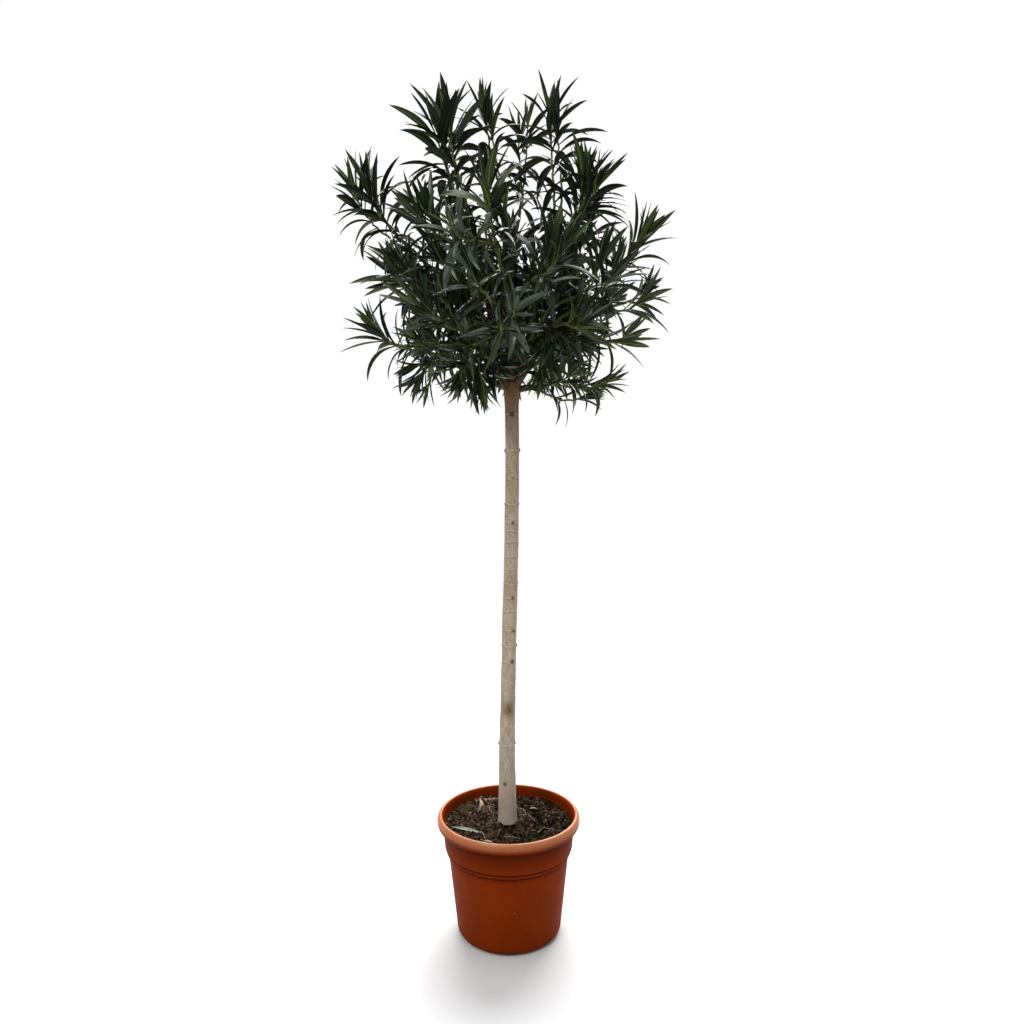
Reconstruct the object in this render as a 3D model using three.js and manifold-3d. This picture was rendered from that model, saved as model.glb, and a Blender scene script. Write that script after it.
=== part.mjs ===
// Potted oleander grown as a standard: a moulded plastic pot, its soil, one bare trunk,
// short boughs off a pruned head, and a crown made of separate masses of foliage.
// Millimetres, +Z up. The origin is the centre of the pot's flat underside.

import * as THREE from 'three';
import * as BufferGeometryUtils from 'three/addons/utils/BufferGeometryUtils.js';
import Module from 'manifold-3d';

const wasm = await Module();
wasm.setup();

// ---------------------------------------------------------------- driving dimensions

const GAP = 0.4; // air left between two pieces that touch

const POT = {
  rimRadius: 150, // outermost point of the rolled lip
  lipHalfWidth: 7,
  lipHalfHeight: 12,
  lipHeight: 239, // middle of the lip
  underLipRadius: 138.5,
  bandRadius: 132, // foot of the upper band
  bandHeight: 181,
  stepRadius: 126,
  stepHeight: 168,
  beadRadius: 128, // thin bead that runs round inside the step
  beadHeight: 173,
  footRadius: 109,
  footChamfer: 7,
  wall: 3.2,
  floor: 4,
  facets: 40,
};

const NOTCH = { count: 3, firstAzimuth: -42, width: 20, depth: 10, height: 5.5 };

const SOIL = { height: 229, unevenness: 3.5, rings: 4, facets: 24, levelRadius: 24 };

const TRUNK = {
  radius: 13.6,
  baseExtra: 6, // added at the soil, dying away up the stem
  taperLength: 220,
  flare: 2.2,
  flareLength: 18,
  headSwell: 4.5,
  swellStart: 1100,
  headHeight: 1182,
  foot: -2, // sideways place at the soil
  lean: 15, // how far it wanders to +X on the way up
  leanStart: 300,
  leanEnd: 1040,
  facets: 12,
  rings: 16,
};

const BOUGH = { facets: 6, rings: 4, tipRadius: 4.2, bow: 0.55 };

const MASS = { facets: 8, rings: 5, footShare: 0.36, widest: 0.62, ragged: 0.2, spike: 0.15, sweep: 0.3 };

const COLOURS = {
  pot: { color: 0x7a3312, roughness: 0.5 },
  soil: { color: 0x2b231d, roughness: 0.95 },
  trunk: { color: 0xaf9e8c, roughness: 0.85 },
  bough: { color: 0x6a5d43, roughness: 0.8 },
  leafFront: { color: 0x2f4328, roughness: 0.55 },
  leafBack: { color: 0x26391f, roughness: 0.6 },
};

// Boughs off the head. Azimuth is in degrees from +X towards +Y; reach is measured out from
// the trunk's axis and height up from the underside of the pot, both at the bough's end.
const BOUGHS = {
  low_left: { azimuth: 184, reach: 135, height: 1196, root: 1138, radius: 7 },
  low_right: { azimuth: 352, reach: 84, height: 1146, root: 1134, radius: 5.5 },
  front_left: { azimuth: 232, reach: 105, height: 1222, root: 1141, radius: 6.5 },
  front: { azimuth: 268, reach: 108, height: 1262, root: 1158, radius: 7 },
  front_right: { azimuth: 308, reach: 112, height: 1236, root: 1143, radius: 6.5 },
  back_right: { azimuth: 48, reach: 118, height: 1262, root: 1142, radius: 7 },
  back: { azimuth: 92, reach: 122, height: 1226, root: 1138, radius: 6.5 },
  back_left: { azimuth: 136, reach: 118, height: 1270, root: 1143, radius: 7 },
  left: { azimuth: 166, reach: 112, height: 1318, root: 1164, radius: 7.5 },
  high_left: { azimuth: 206, reach: 66, height: 1352, root: 1166, radius: 7.5 },
  right: { azimuth: 12, reach: 124, height: 1296, root: 1162, radius: 7.5 },
  high_right: { azimuth: 330, reach: 76, height: 1346, root: 1166, radius: 7.5 },
  centre: { azimuth: 80, reach: 26, height: 1372, root: 1174, radius: 7.5 },
};

// Masses of foliage, each grown from the end of a bough to its furthest tip. Azimuth, reach
// and height place that tip as above, and girth is the mass's largest radius.
const MASSES = [
  { name: 'top_left', bough: 'high_left', azimuth: 197, reach: 136, height: 1732, girth: 62 },
  { name: 'left_mid', bough: 'high_left', azimuth: 207, reach: 220, height: 1530, girth: 46 },
  { name: 'top_centre_left', bough: 'centre', azimuth: 152, reach: 62, height: 1768, girth: 46 },
  { name: 'top_centre_back', bough: 'centre', azimuth: 82, reach: 132, height: 1772, girth: 44 },
  { name: 'top_right', bough: 'high_right', azimuth: 30, reach: 98, height: 1770, girth: 48 },
  { name: 'right_upper', bough: 'high_right', azimuth: 340, reach: 176, height: 1612, girth: 62 },
  { name: 'far_right', bough: 'right', azimuth: 358, reach: 286, height: 1514, girth: 52 },
  { name: 'right_low', bough: 'right', azimuth: 351, reach: 312, height: 1380, girth: 50 },
  { name: 'right_mid', bough: 'front_right', azimuth: 330, reach: 222, height: 1436, girth: 46 },
  { name: 'lower_right', bough: 'front_right', azimuth: 334, reach: 218, height: 1240, girth: 42 },
  { name: 'front_low_right', bough: 'front_right', azimuth: 306, reach: 224, height: 1290, girth: 48 },
  { name: 'bottom_right', bough: 'low_right', azimuth: 354, reach: 196, height: 1122, girth: 36 },
  { name: 'far_left_upper', bough: 'left', azimuth: 182, reach: 322, height: 1612, girth: 60 },
  { name: 'left_spray', bough: 'left', azimuth: 193, reach: 272, height: 1426, girth: 54 },
  { name: 'far_left_back', bough: 'left', azimuth: 158, reach: 292, height: 1440, girth: 56 },
  { name: 'lower_left', bough: 'low_left', azimuth: 180, reach: 312, height: 1326, girth: 50 },
  { name: 'skirt_left', bough: 'low_left', azimuth: 190, reach: 240, height: 1158, girth: 44 },
  { name: 'skirt_front_left', bough: 'front_left', azimuth: 222, reach: 190, height: 1118, girth: 46 },
  { name: 'skirt_trunk_left', bough: 'front_left', azimuth: 226, reach: 74, height: 1082, girth: 40 },
  { name: 'skirt_trunk_right', bough: 'front_right', azimuth: 316, reach: 82, height: 1102, girth: 38 },
  { name: 'front_left_side', bough: 'front_left', azimuth: 224, reach: 268, height: 1336, girth: 56 },
  { name: 'front_centre', bough: 'front', azimuth: 255, reach: 200, height: 1560, girth: 60 },
  { name: 'front_low', bough: 'front', azimuth: 268, reach: 272, height: 1292, girth: 54 },
  { name: 'front_right_side', bough: 'front', azimuth: 292, reach: 250, height: 1432, girth: 52 },
  { name: 'back_upper_left', bough: 'back_left', azimuth: 126, reach: 196, height: 1628, girth: 56 },
  { name: 'back_left_side', bough: 'back_left', azimuth: 132, reach: 296, height: 1440, girth: 56 },
  { name: 'back_low_left', bough: 'back_left', azimuth: 146, reach: 252, height: 1212, girth: 52 },
  { name: 'back_middle', bough: 'back', azimuth: 96, reach: 292, height: 1392, girth: 60 },
  { name: 'back_skirt', bough: 'back', azimuth: 86, reach: 206, height: 1136, girth: 52 },
  { name: 'back_upper', bough: 'back', azimuth: 88, reach: 228, height: 1566, girth: 52 },
  { name: 'back_skirt_right', bough: 'back_right', azimuth: 50, reach: 112, height: 1112, girth: 44 },
  { name: 'back_upper_right', bough: 'back_right', azimuth: 42, reach: 236, height: 1590, girth: 56 },
  { name: 'back_right_side', bough: 'back_right', azimuth: 34, reach: 298, height: 1424, girth: 56 },
  { name: 'back_low_right', bough: 'back_right', azimuth: 38, reach: 256, height: 1204, girth: 52 },
];

// ---------------------------------------------------------------- small helpers

const radians = THREE.MathUtils.degToRad;

/** A repeatable stream of numbers from 0 to 1, so that every build is the same. */
function stream(seed) {
  let state = seed >>> 0;
  return () => {
    state = (state + 0x6d2b79f5) >>> 0;
    let mixed = Math.imul(state ^ (state >>> 15), 1 | state);
    mixed = (mixed + Math.imul(mixed ^ (mixed >>> 7), 61 | mixed)) ^ mixed;
    return ((mixed ^ (mixed >>> 14)) >>> 0) / 4294967296;
  };
}

const ease = (value) => THREE.MathUtils.smoothstep(value, 0, 1);

/** Closes a stack of rings, each a list of points, into one body with its faces outward. */
function skin(rings, first, last) {
  const sides = rings[0].length;
  const points = [first, ...rings.flat(), last];
  const faces = [];
  const at = (ring, side) => 1 + ring * sides + (side % sides);
  for (let side = 0; side < sides; side += 1) {
    faces.push(0, at(0, side + 1), at(0, side));
    for (let ring = 0; ring + 1 < rings.length; ring += 1) {
      faces.push(at(ring, side), at(ring, side + 1), at(ring + 1, side + 1));
      faces.push(at(ring, side), at(ring + 1, side + 1), at(ring + 1, side));
    }
    faces.push(at(rings.length - 1, side), at(rings.length - 1, side + 1), points.length - 1);
  }
  const geometry = new THREE.BufferGeometry();
  geometry.setAttribute('position', new THREE.Float32BufferAttribute(points.flatMap((p) => [...p]), 3));
  geometry.setIndex(faces);
  return geometry;
}

/** Two directions square to an axis, so that (across, up, axis) is right-handed. */
function squareTo(axis) {
  const helper = Math.abs(axis.z) > 0.9 ? new THREE.Vector3(0, 1, 0) : new THREE.Vector3(0, 0, 1);
  const across = new THREE.Vector3().crossVectors(helper, axis).normalize();
  return [across, new THREE.Vector3().crossVectors(axis, across).normalize()];
}

function solid(geometry) {
  const bare = geometry.clone();
  bare.deleteAttribute('normal');
  bare.deleteAttribute('uv');
  const merged = BufferGeometryUtils.mergeVertices(bare, 1e-4);
  return new wasm.Manifold(
    new wasm.Mesh({
      numProp: 3,
      vertProperties: Float32Array.from(merged.attributes.position.array),
      triVerts: Uint32Array.from(merged.index.array),
    }),
  );
}

function geometryOf(body) {
  const mesh = body.getMesh();
  const geometry = new THREE.BufferGeometry();
  geometry.setAttribute('position', new THREE.BufferAttribute(Float32Array.from(mesh.vertProperties), 3));
  geometry.setIndex(Array.from(mesh.triVerts));
  return geometry;
}

/** Cuts a body by its neighbours and keeps the largest piece that is left. */
function trimmed(body, cutters) {
  let left = body;
  for (const cutter of cutters) {
    left = left.subtract(cutter);
  }
  const pieces = left.decompose();
  return pieces.reduce((best, piece) => (piece.volume() > best.volume() ? piece : best));
}

function named(name, geometry, look) {
  const faceted = geometry.index ? geometry.toNonIndexed() : geometry.clone();
  faceted.deleteAttribute('uv');
  faceted.computeVertexNormals();
  const material = new THREE.MeshStandardMaterial({ ...look, metalness: 0, flatShading: true });
  const mesh = new THREE.Mesh(faceted, material);
  mesh.name = name;
  return mesh;
}

// ---------------------------------------------------------------- pot and soil

/** Radius of the pot's outer wall at a height below the lip. */
function potRadius(height) {
  if (height >= POT.bandHeight) {
    const lipFoot = POT.lipHeight - POT.lipHalfHeight;
    const share = (height - POT.bandHeight) / (lipFoot - POT.bandHeight);
    return THREE.MathUtils.lerp(POT.bandRadius, POT.underLipRadius, share);
  }
  const share = height / POT.stepHeight;
  return THREE.MathUtils.lerp(POT.footRadius, POT.stepRadius, Math.min(share, 1));
}

function potGeometry() {
  const lipMiddle = POT.rimRadius - POT.lipHalfWidth;
  const lipFoot = POT.lipHeight - POT.lipHalfHeight;
  const profile = [new THREE.Vector2(0, 0), new THREE.Vector2(POT.footRadius - POT.footChamfer, 0)];
  profile.push(new THREE.Vector2(potRadius(POT.footChamfer), POT.footChamfer));
  profile.push(new THREE.Vector2(POT.stepRadius, POT.stepHeight));
  profile.push(new THREE.Vector2(POT.beadRadius, POT.beadHeight));
  profile.push(new THREE.Vector2(POT.bandRadius, POT.bandHeight));
  profile.push(new THREE.Vector2(POT.underLipRadius, lipFoot + 3));
  const steps = 8;
  for (let step = 0; step <= steps; step += 1) {
    const turn = THREE.MathUtils.lerp(-0.62, 1.1, step / steps) * Math.PI;
    const across = lipMiddle + POT.lipHalfWidth * Math.cos(turn);
    profile.push(new THREE.Vector2(across, POT.lipHeight + POT.lipHalfHeight * Math.sin(turn)));
  }
  profile.push(new THREE.Vector2(potRadius(POT.bandHeight) - POT.wall, POT.bandHeight));
  profile.push(new THREE.Vector2(potRadius(POT.stepHeight) - POT.wall, POT.stepHeight));
  profile.push(new THREE.Vector2(potRadius(POT.floor) - POT.wall, POT.floor));
  profile.push(new THREE.Vector2(0, POT.floor));
  const turned = new THREE.LatheGeometry(profile, POT.facets);
  turned.rotateX(Math.PI / 2); // the profile's height becomes +Z
  let pot = solid(turned);
  for (let index = 0; index < NOTCH.count; index += 1) {
    const notch = new THREE.BoxGeometry(2 * NOTCH.depth, NOTCH.width, 2 * NOTCH.height);
    notch.translate(POT.footRadius, 0, 0);
    notch.rotateZ(radians(NOTCH.firstAzimuth + (360 / NOTCH.count) * index));
    pot = pot.subtract(solid(notch));
  }
  return geometryOf(pot);
}

function soilGeometry() {
  const random = stream(11);
  const inside = (height) => potRadius(height) - POT.wall - GAP;
  const ring = (radius, height) =>
    Array.from({ length: SOIL.facets }, (_, side) => {
      const turn = (side / SOIL.facets) * 2 * Math.PI;
      const z = typeof height === 'function' ? height() : height;
      return new THREE.Vector3(radius * Math.cos(turn), radius * Math.sin(turn), z);
    });
  const floor = POT.floor + GAP;
  const uneven = () => SOIL.height + (random() - 0.5) * 2 * SOIL.unevenness;
  const rings = [ring(inside(floor) - 1, floor), ring(inside(POT.stepHeight), POT.stepHeight)];
  rings.push(ring(inside(POT.bandHeight), POT.bandHeight), ring(inside(SOIL.height) - 1, SOIL.height));
  for (let step = 1; step < SOIL.rings; step += 1) {
    const share = 1 - step / SOIL.rings;
    rings.push(ring(share * inside(SOIL.height), uneven));
  }
  rings.push(ring(SOIL.levelRadius, SOIL.height));
  return skin(rings, new THREE.Vector3(0, 0, floor), new THREE.Vector3(0, 0, SOIL.height));
}

// ---------------------------------------------------------------- trunk and boughs

function trunkAxis(height) {
  const climb = (height - TRUNK.leanStart) / (TRUNK.leanEnd - TRUNK.leanStart);
  return new THREE.Vector3(TRUNK.foot + TRUNK.lean * ease(climb), 0, height);
}

function trunkRadius(height) {
  const above = height - SOIL.height;
  const taper = TRUNK.baseExtra * Math.exp(-above / TRUNK.taperLength);
  const flare = TRUNK.flare * Math.exp(-above / TRUNK.flareLength);
  const swell = ease((height - TRUNK.swellStart) / (TRUNK.headHeight - 20 - TRUNK.swellStart));
  return TRUNK.radius + taper + flare + TRUNK.headSwell * swell;
}

/** The trunk, flat at the soil and rounded off at the pruned head; allowance swells it. */
function trunkGeometry(allowance = 0) {
  const foot = SOIL.height + GAP - allowance;
  const shoulder = TRUNK.headHeight - 10 + allowance;
  const heights = [foot, foot + 8, foot + 22];
  for (let ring = 0; ring <= TRUNK.rings - 4; ring += 1) {
    heights.push(THREE.MathUtils.lerp(foot + 50, shoulder, ring / (TRUNK.rings - 4)));
  }
  const ring = (height, shrink) => {
    const axis = trunkAxis(height);
    const radius = trunkRadius(height) * shrink + allowance;
    return Array.from({ length: TRUNK.facets }, (_, side) => {
      const turn = (side / TRUNK.facets) * 2 * Math.PI;
      return new THREE.Vector3(axis.x + radius * Math.cos(turn), radius * Math.sin(turn), height);
    });
  };
  const rings = heights.map((height) => ring(height, 1));
  rings.push(ring(TRUNK.headHeight - 3 + allowance, 0.72));
  const top = trunkAxis(TRUNK.headHeight + allowance);
  return skin(rings, trunkAxis(foot), top);
}

/** A point at an azimuth in degrees and a reach from the trunk's upper axis, at a height. */
function placed({ azimuth, reach, height }) {
  const turn = radians(azimuth);
  const axis = trunkAxis(TRUNK.headHeight);
  return new THREE.Vector3(axis.x + reach * Math.cos(turn), reach * Math.sin(turn), height);
}

/** The curve of a bough, which leaves the head outward and bends up to its end. */
function boughCurve(bough) {
  const start = placed({ azimuth: bough.azimuth, reach: 8, height: bough.root });
  const end = placed(bough);
  const bend = start.clone().lerp(end, 0.5);
  bend.z = THREE.MathUtils.lerp(start.z, end.z, 0.5 - 0.25 * BOUGH.bow);
  return new THREE.QuadraticBezierCurve3(start, bend, end);
}

function boughGeometry(bough, allowance = 0) {
  const curve = boughCurve(bough);
  const rings = [];
  for (let index = 0; index < BOUGH.rings; index += 1) {
    const share = index / (BOUGH.rings - 1);
    const tangent = curve.getTangent(share);
    const [across, up] = squareTo(tangent);
    const radius = THREE.MathUtils.lerp(bough.radius, BOUGH.tipRadius, share) + allowance;
    const past = index === BOUGH.rings - 1 ? allowance : 0;
    const centre = curve.getPoint(share).addScaledVector(tangent, past);
    rings.push(
      Array.from({ length: BOUGH.facets }, (_, side) => {
        const turn = (side / BOUGH.facets) * 2 * Math.PI;
        const point = centre.clone().addScaledVector(across, radius * Math.cos(turn));
        return point.addScaledVector(up, radius * Math.sin(turn));
      }),
    );
  }
  const middle = (ring) =>
    ring.reduce((sum, point) => sum.add(point), new THREE.Vector3()).divideScalar(ring.length);
  return skin(rings, middle(rings[0]), middle(rings[rings.length - 1]));
}

// ---------------------------------------------------------------- masses of foliage

/** Radius of a mass along its length, as a share of its girth. */
function girthShare(share) {
  if (share < MASS.widest) {
    return THREE.MathUtils.lerp(MASS.footShare, 1, ease(0.25 + (0.75 * share) / MASS.widest));
  }
  return THREE.MathUtils.lerp(1, 0.6, (share - MASS.widest) / (1 - MASS.widest));
}

/** One uneven mass: narrow at its bough, widest past the middle, with a jagged leafy end. */
function massGeometry(mass, index, allowance = 0) {
  const random = stream(101 + 37 * index);
  const limb = boughCurve(BOUGHS[mass.bough]);
  const heading = limb.getTangent(1);
  const start = limb.getPoint(1).addScaledVector(heading, 2 * GAP);
  const tip = placed(mass);
  const span = tip.distanceTo(start);
  const along = tip.clone().sub(start).normalize();
  const agreement = Math.max(0, heading.dot(along));
  const aside = heading.clone().addScaledVector(along, -heading.dot(along));
  const bend = start.clone().lerp(tip, 0.45).addScaledVector(aside, MASS.sweep * span * agreement);
  const curve = new THREE.QuadraticBezierCurve3(start, bend, tip);
  const [across, up] = squareTo(along); // every ring is square to the chord, so none cross
  const spike = MASS.spike * span;
  const rings = [];
  for (let step = 0; step < MASS.rings; step += 1) {
    const share = step / (MASS.rings - 1);
    const centre = curve.getPoint(share * (1 - MASS.spike));
    const last = step === MASS.rings - 1;
    const twist = last ? 0 : 0.5 * (step % 2);
    rings.push(
      Array.from({ length: MASS.facets }, (_, side) => {
        const turn = ((side + twist) / MASS.facets) * 2 * Math.PI;
        const rough = 1 + MASS.ragged * (2 * random() - 1);
        const radius = mass.girth * girthShare(share) * rough + allowance;
        const jag = side % 2 ? -0.5 : 0.75 + 0.45 * random();
        const push = (last ? jag * spike + allowance : 0) - (step === 0 ? allowance : 0);
        const point = centre.clone().addScaledVector(across, radius * Math.cos(turn));
        return point.addScaledVector(up, radius * Math.sin(turn)).addScaledVector(along, push);
      }),
    );
  }
  const foot = start.clone().addScaledVector(along, -allowance);
  const crown = curve.getPoint(1 - MASS.spike).addScaledVector(along, 0.55 * spike + allowance);
  return skin(rings, foot, crown);
}

// ---------------------------------------------------------------- assembly

const group = new THREE.Group();
group.add(named('pot', potGeometry(), COLOURS.pot));
group.add(named('soil', soilGeometry(), COLOURS.soil));
group.add(named('trunk', trunkGeometry(), COLOURS.trunk));

const boughCutters = [solid(trunkGeometry(GAP))];
for (const [name, bough] of Object.entries(BOUGHS)) {
  const body = trimmed(solid(boughGeometry(bough)), boughCutters);
  group.add(named(`bough_${name}`, geometryOf(body), COLOURS.bough));
  boughCutters.push(solid(boughGeometry(bough, GAP)));
}

const massCutters = [...boughCutters];
MASSES.forEach((mass, index) => {
  const body = trimmed(solid(massGeometry(mass, index)), massCutters);
  const look = mass.name.startsWith('back') ? COLOURS.leafBack : COLOURS.leafFront;
  group.add(named(`foliage_${mass.name}`, geometryOf(body), look));
  massCutters.push(solid(massGeometry(mass, index, GAP)));
});

export default group;
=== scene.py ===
"""Looks for a potted oleander grown as a standard.

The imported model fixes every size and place. This script dresses the pot, lays the soil, puts bark on the
trunk and boughs, and grows twigs and leaves through the masses of foliage by a seeded branching rule.
Lengths are in metres, +Z up, and the front of the plant faces -Y.
"""

import logging
import math
from dataclasses import dataclass, field, replace
from enum import Enum

import bpy
import numpy as np
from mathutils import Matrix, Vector, noise


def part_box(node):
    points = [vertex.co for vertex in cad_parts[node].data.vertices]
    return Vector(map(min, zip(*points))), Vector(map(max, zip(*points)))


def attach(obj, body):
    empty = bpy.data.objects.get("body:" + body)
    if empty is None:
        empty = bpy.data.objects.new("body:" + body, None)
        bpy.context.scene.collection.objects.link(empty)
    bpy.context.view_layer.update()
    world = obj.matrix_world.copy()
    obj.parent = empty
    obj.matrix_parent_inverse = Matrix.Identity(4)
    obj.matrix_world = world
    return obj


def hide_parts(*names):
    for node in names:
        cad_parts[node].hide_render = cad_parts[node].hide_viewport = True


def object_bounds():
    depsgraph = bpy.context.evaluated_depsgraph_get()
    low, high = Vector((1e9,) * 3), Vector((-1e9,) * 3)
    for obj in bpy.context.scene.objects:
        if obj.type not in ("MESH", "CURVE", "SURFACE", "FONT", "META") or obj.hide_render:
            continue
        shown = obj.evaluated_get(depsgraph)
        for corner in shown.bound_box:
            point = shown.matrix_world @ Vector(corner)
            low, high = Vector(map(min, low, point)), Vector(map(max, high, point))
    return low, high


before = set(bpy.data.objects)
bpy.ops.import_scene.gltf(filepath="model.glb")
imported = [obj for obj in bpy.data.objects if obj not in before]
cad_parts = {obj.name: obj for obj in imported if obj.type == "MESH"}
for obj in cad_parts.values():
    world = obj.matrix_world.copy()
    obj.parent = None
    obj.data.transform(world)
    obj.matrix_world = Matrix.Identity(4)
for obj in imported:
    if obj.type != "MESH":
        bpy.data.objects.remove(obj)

CAD_BOX = [list(corner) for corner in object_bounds()]
MM = 0.001
SPARE = 3 * MM
LOG = logging.getLogger("oleander")


# ------------------------------------------------------------------------------------------ vectors


def unit(vectors: np.ndarray) -> np.ndarray:
    """Vectors of length one, along the last axis."""
    return vectors / np.maximum(np.linalg.norm(vectors, axis=-1, keepdims=True), 1e-12)


def ease(value: np.ndarray | float, low: float, high: float) -> np.ndarray:
    """A smooth step from 0 at low to 1 at high."""
    share = np.clip((np.asarray(value, float) - low) / (high - low), 0, 1)
    return share * share * (3 - 2 * share)


def bend(start: np.ndarray, middle: np.ndarray, end: np.ndarray, count: int) -> np.ndarray:
    """Points along the quadratic curve from start to end that is drawn towards middle."""
    share = np.linspace(0, 1, count)[:, None]
    return (1 - share) ** 2 * start + 2 * share * (1 - share) * middle + share**2 * end


def curve(start: np.ndarray, leaving: np.ndarray, arriving: np.ndarray, end: np.ndarray,
          count: int) -> np.ndarray:
    """Points along a cubic curve.

    Args:
        start: where it starts.
        leaving: the point that it leaves start towards.
        arriving: the point that it comes to end from.
        end: where it ends.
        count: how many points it has.

    Returns:
        The points, one to a row.
    """
    share = np.linspace(0, 1, count)[:, None]
    back = 1 - share
    return back**3 * start + 3 * back**2 * share * leaving + 3 * back * share**2 * arriving + share**3 * end


def grain(points: np.ndarray, scale: float, seed: float = 0.0) -> np.ndarray:
    """Smooth noise from -1 to 1 at each point, with lumps of about one scale."""
    shift = Vector((seed, 1.7 * seed, -0.6 * seed))
    return np.array([noise.noise(Vector(point) / scale + shift) for point in points])


def corners(node: str) -> np.ndarray:
    """Reads where a CAD node's corners are.

    Args:
        node: the node's name.

    Returns:
        The place of each corner, once.
    """
    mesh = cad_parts[node].data
    places = np.empty(3 * len(mesh.vertices), np.float32)
    mesh.vertices.foreach_get("co", places)
    return np.unique(places.reshape(-1, 3).round(6), axis=0).astype(float)


# ------------------------------------------------------------------------------------------ shaders


class Value:
    """A shader socket that adds Math nodes when it is used in an expression."""

    def __init__(self, sheet: "Graph", socket: bpy.types.NodeSocket) -> None:
        """Keeps the socket and the sheet that it is drawn on."""
        self.sheet = sheet
        self.socket = socket

    def _maths(self, operation: str, left: "Value | float", right: "Value | float") -> "Value":
        """One Math node on two operands."""
        return self.sheet.node("ShaderNodeMath", {"operation": operation}, {0: left, 1: right})

    def __add__(self, other: "Value | float") -> "Value":
        """self + other."""
        return self._maths("ADD", self, other)

    __radd__ = __add__

    def __sub__(self, other: "Value | float") -> "Value":
        """self - other."""
        return self._maths("SUBTRACT", self, other)

    def __rsub__(self, other: "Value | float") -> "Value":
        """other - self."""
        return self._maths("SUBTRACT", other, self)

    def __mul__(self, other: "Value | float") -> "Value":
        """self * other."""
        return self._maths("MULTIPLY", self, other)

    __rmul__ = __mul__

    def between(self, low: float, high: float) -> "Value":
        """A smooth step of this value.

        Args:
            low: where the step is 0.
            high: where it is 1, which may be the smaller of the two.

        Returns:
            The step.
        """
        turned = high < low
        ends = (high, low) if turned else (low, high)
        settings = {"interpolation_type": "SMOOTHSTEP"}
        stepped = self.sheet.node("ShaderNodeMapRange", settings, {0: self, 1: ends[0], 2: ends[1]})
        return 1 - stepped if turned else stepped


Triple = tuple[float, float, float]
Colour = Triple


class Graph:
    """A node tree, and the ways to add to it."""

    def __init__(self, tree: bpy.types.NodeTree) -> None:
        """Keeps the tree's nodes and links."""
        self.nodes = tree.nodes
        self.links = tree.links

    def node(self, kind: str, settings: dict | None = None, inputs: dict | None = None,
             output: int | str = 0) -> Value:
        """Adds one node.

        Args:
            kind: the node's type.
            settings: its properties.
            inputs: a number, colour, vector or Value for each socket, by name or number.
            output: the socket to hand back.

        Returns:
            The chosen output.
        """
        made = self.nodes.new(kind)
        for key, setting in (settings or {}).items():
            setattr(made, key, setting)
        for key, given in (inputs or {}).items():
            self.feed(made.inputs[key], given)
        return Value(self, made.outputs[output])

    def feed(self, socket: bpy.types.NodeSocket, given: "Value | float | Colour") -> None:
        """Links a Value to a socket, or sets the socket.

        Args:
            socket: the socket to feed.
            given: a Value, a number, a colour or a vector.
        """
        if isinstance(given, Value):
            self.links.new(given.socket, socket)
        elif isinstance(given, tuple) and socket.type == "RGBA":
            socket.default_value = (*given, 1)
        else:
            socket.default_value = given


class Sheet(Graph):
    """The node tree of one material, round its Principled shader."""

    def __init__(self, name: str, roughness: float, specular: float = 0.5) -> None:
        """Makes the material and sets what is the same all over it.

        Args:
            name: the material's name.
            roughness: the roughness where nothing else is linked.
            specular: the specular level.
        """
        self.material = bpy.data.materials.new(name)
        self.material.use_nodes = True
        super().__init__(self.material.node_tree)
        self.shader = self.nodes["Principled BSDF"]
        self.shader.inputs["Roughness"].default_value = roughness
        self.shader.inputs["Specular IOR Level"].default_value = specular

    def place(self) -> Value:
        """Where a point is on the object, in metres."""
        return self.node("ShaderNodeTexCoord", output="Object")

    def axis(self, name: str) -> Value:
        """One coordinate of the place, by its letter."""
        return self.node("ShaderNodeSeparateXYZ", inputs={0: self.place()}, output=name)

    def lumps(self, size: float, detail: float = 3, stretch: Triple = (1, 1, 1),
              roughness: float = 0.5) -> Value:
        """Noise from 0 to 1.

        Args:
            size: about how large a lump is, in metres.
            detail: how many finer layers the noise has.
            stretch: how far it is drawn out along each axis.
            roughness: how strong the finer layers are.

        Returns:
            The noise.
        """
        shrunk = tuple(1 / along for along in stretch)
        scaled = self.node("ShaderNodeVectorMath", {"operation": "MULTIPLY"}, {0: self.place(), 1: shrunk})
        inputs = {"Vector": scaled, "Scale": 1 / size, "Detail": detail, "Roughness": roughness}
        return self.node("ShaderNodeTexNoise", inputs=inputs)

    def spots(self, size: float, share: float) -> Value:
        """Round spots on a Voronoi grid of one size, as large as the share of a cell."""
        inputs = {"Vector": self.place(), "Scale": 1 / size, "Randomness": 1.0}
        return self.node("ShaderNodeTexVoronoi", inputs=inputs).between(share, 0.55 * share)

    def mix(self, mask: "Value | float", first: "Value | Colour", second: "Value | Colour") -> Value:
        """The first colour where the mask is 0, and the second where it is 1."""
        inputs = {0: mask, 6: first, 7: second}
        return self.node("ShaderNodeMix", {"data_type": "RGBA"}, inputs, output=2)

    def mask(self, name: str) -> Value:
        """A number that the mesh holds at each point."""
        return self.node("ShaderNodeAttribute", {"attribute_name": name}, output="Fac")

    def finish(self, colour: "Value | Colour", roughness: Value | None = None, height: Value | None = None,
               depth: float = 0.001) -> bpy.types.Material:
        """Feeds the shader.

        Args:
            colour: the base colour.
            roughness: how rough it is, where that varies.
            height: relief from 0 to 1.
            depth: how deep a relief of 1 is, in metres.

        Returns:
            The material.
        """
        self.feed(self.shader.inputs["Base Color"], colour)
        if roughness is not None:
            self.feed(self.shader.inputs["Roughness"], roughness)
        if height is not None:
            bump = self.node("ShaderNodeBump", inputs={"Strength": 1.0, "Distance": depth, "Height": height})
            self.feed(self.shader.inputs["Normal"], bump)
        return self.material


# ------------------------------------------------------------------------------------------ finishes


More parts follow.
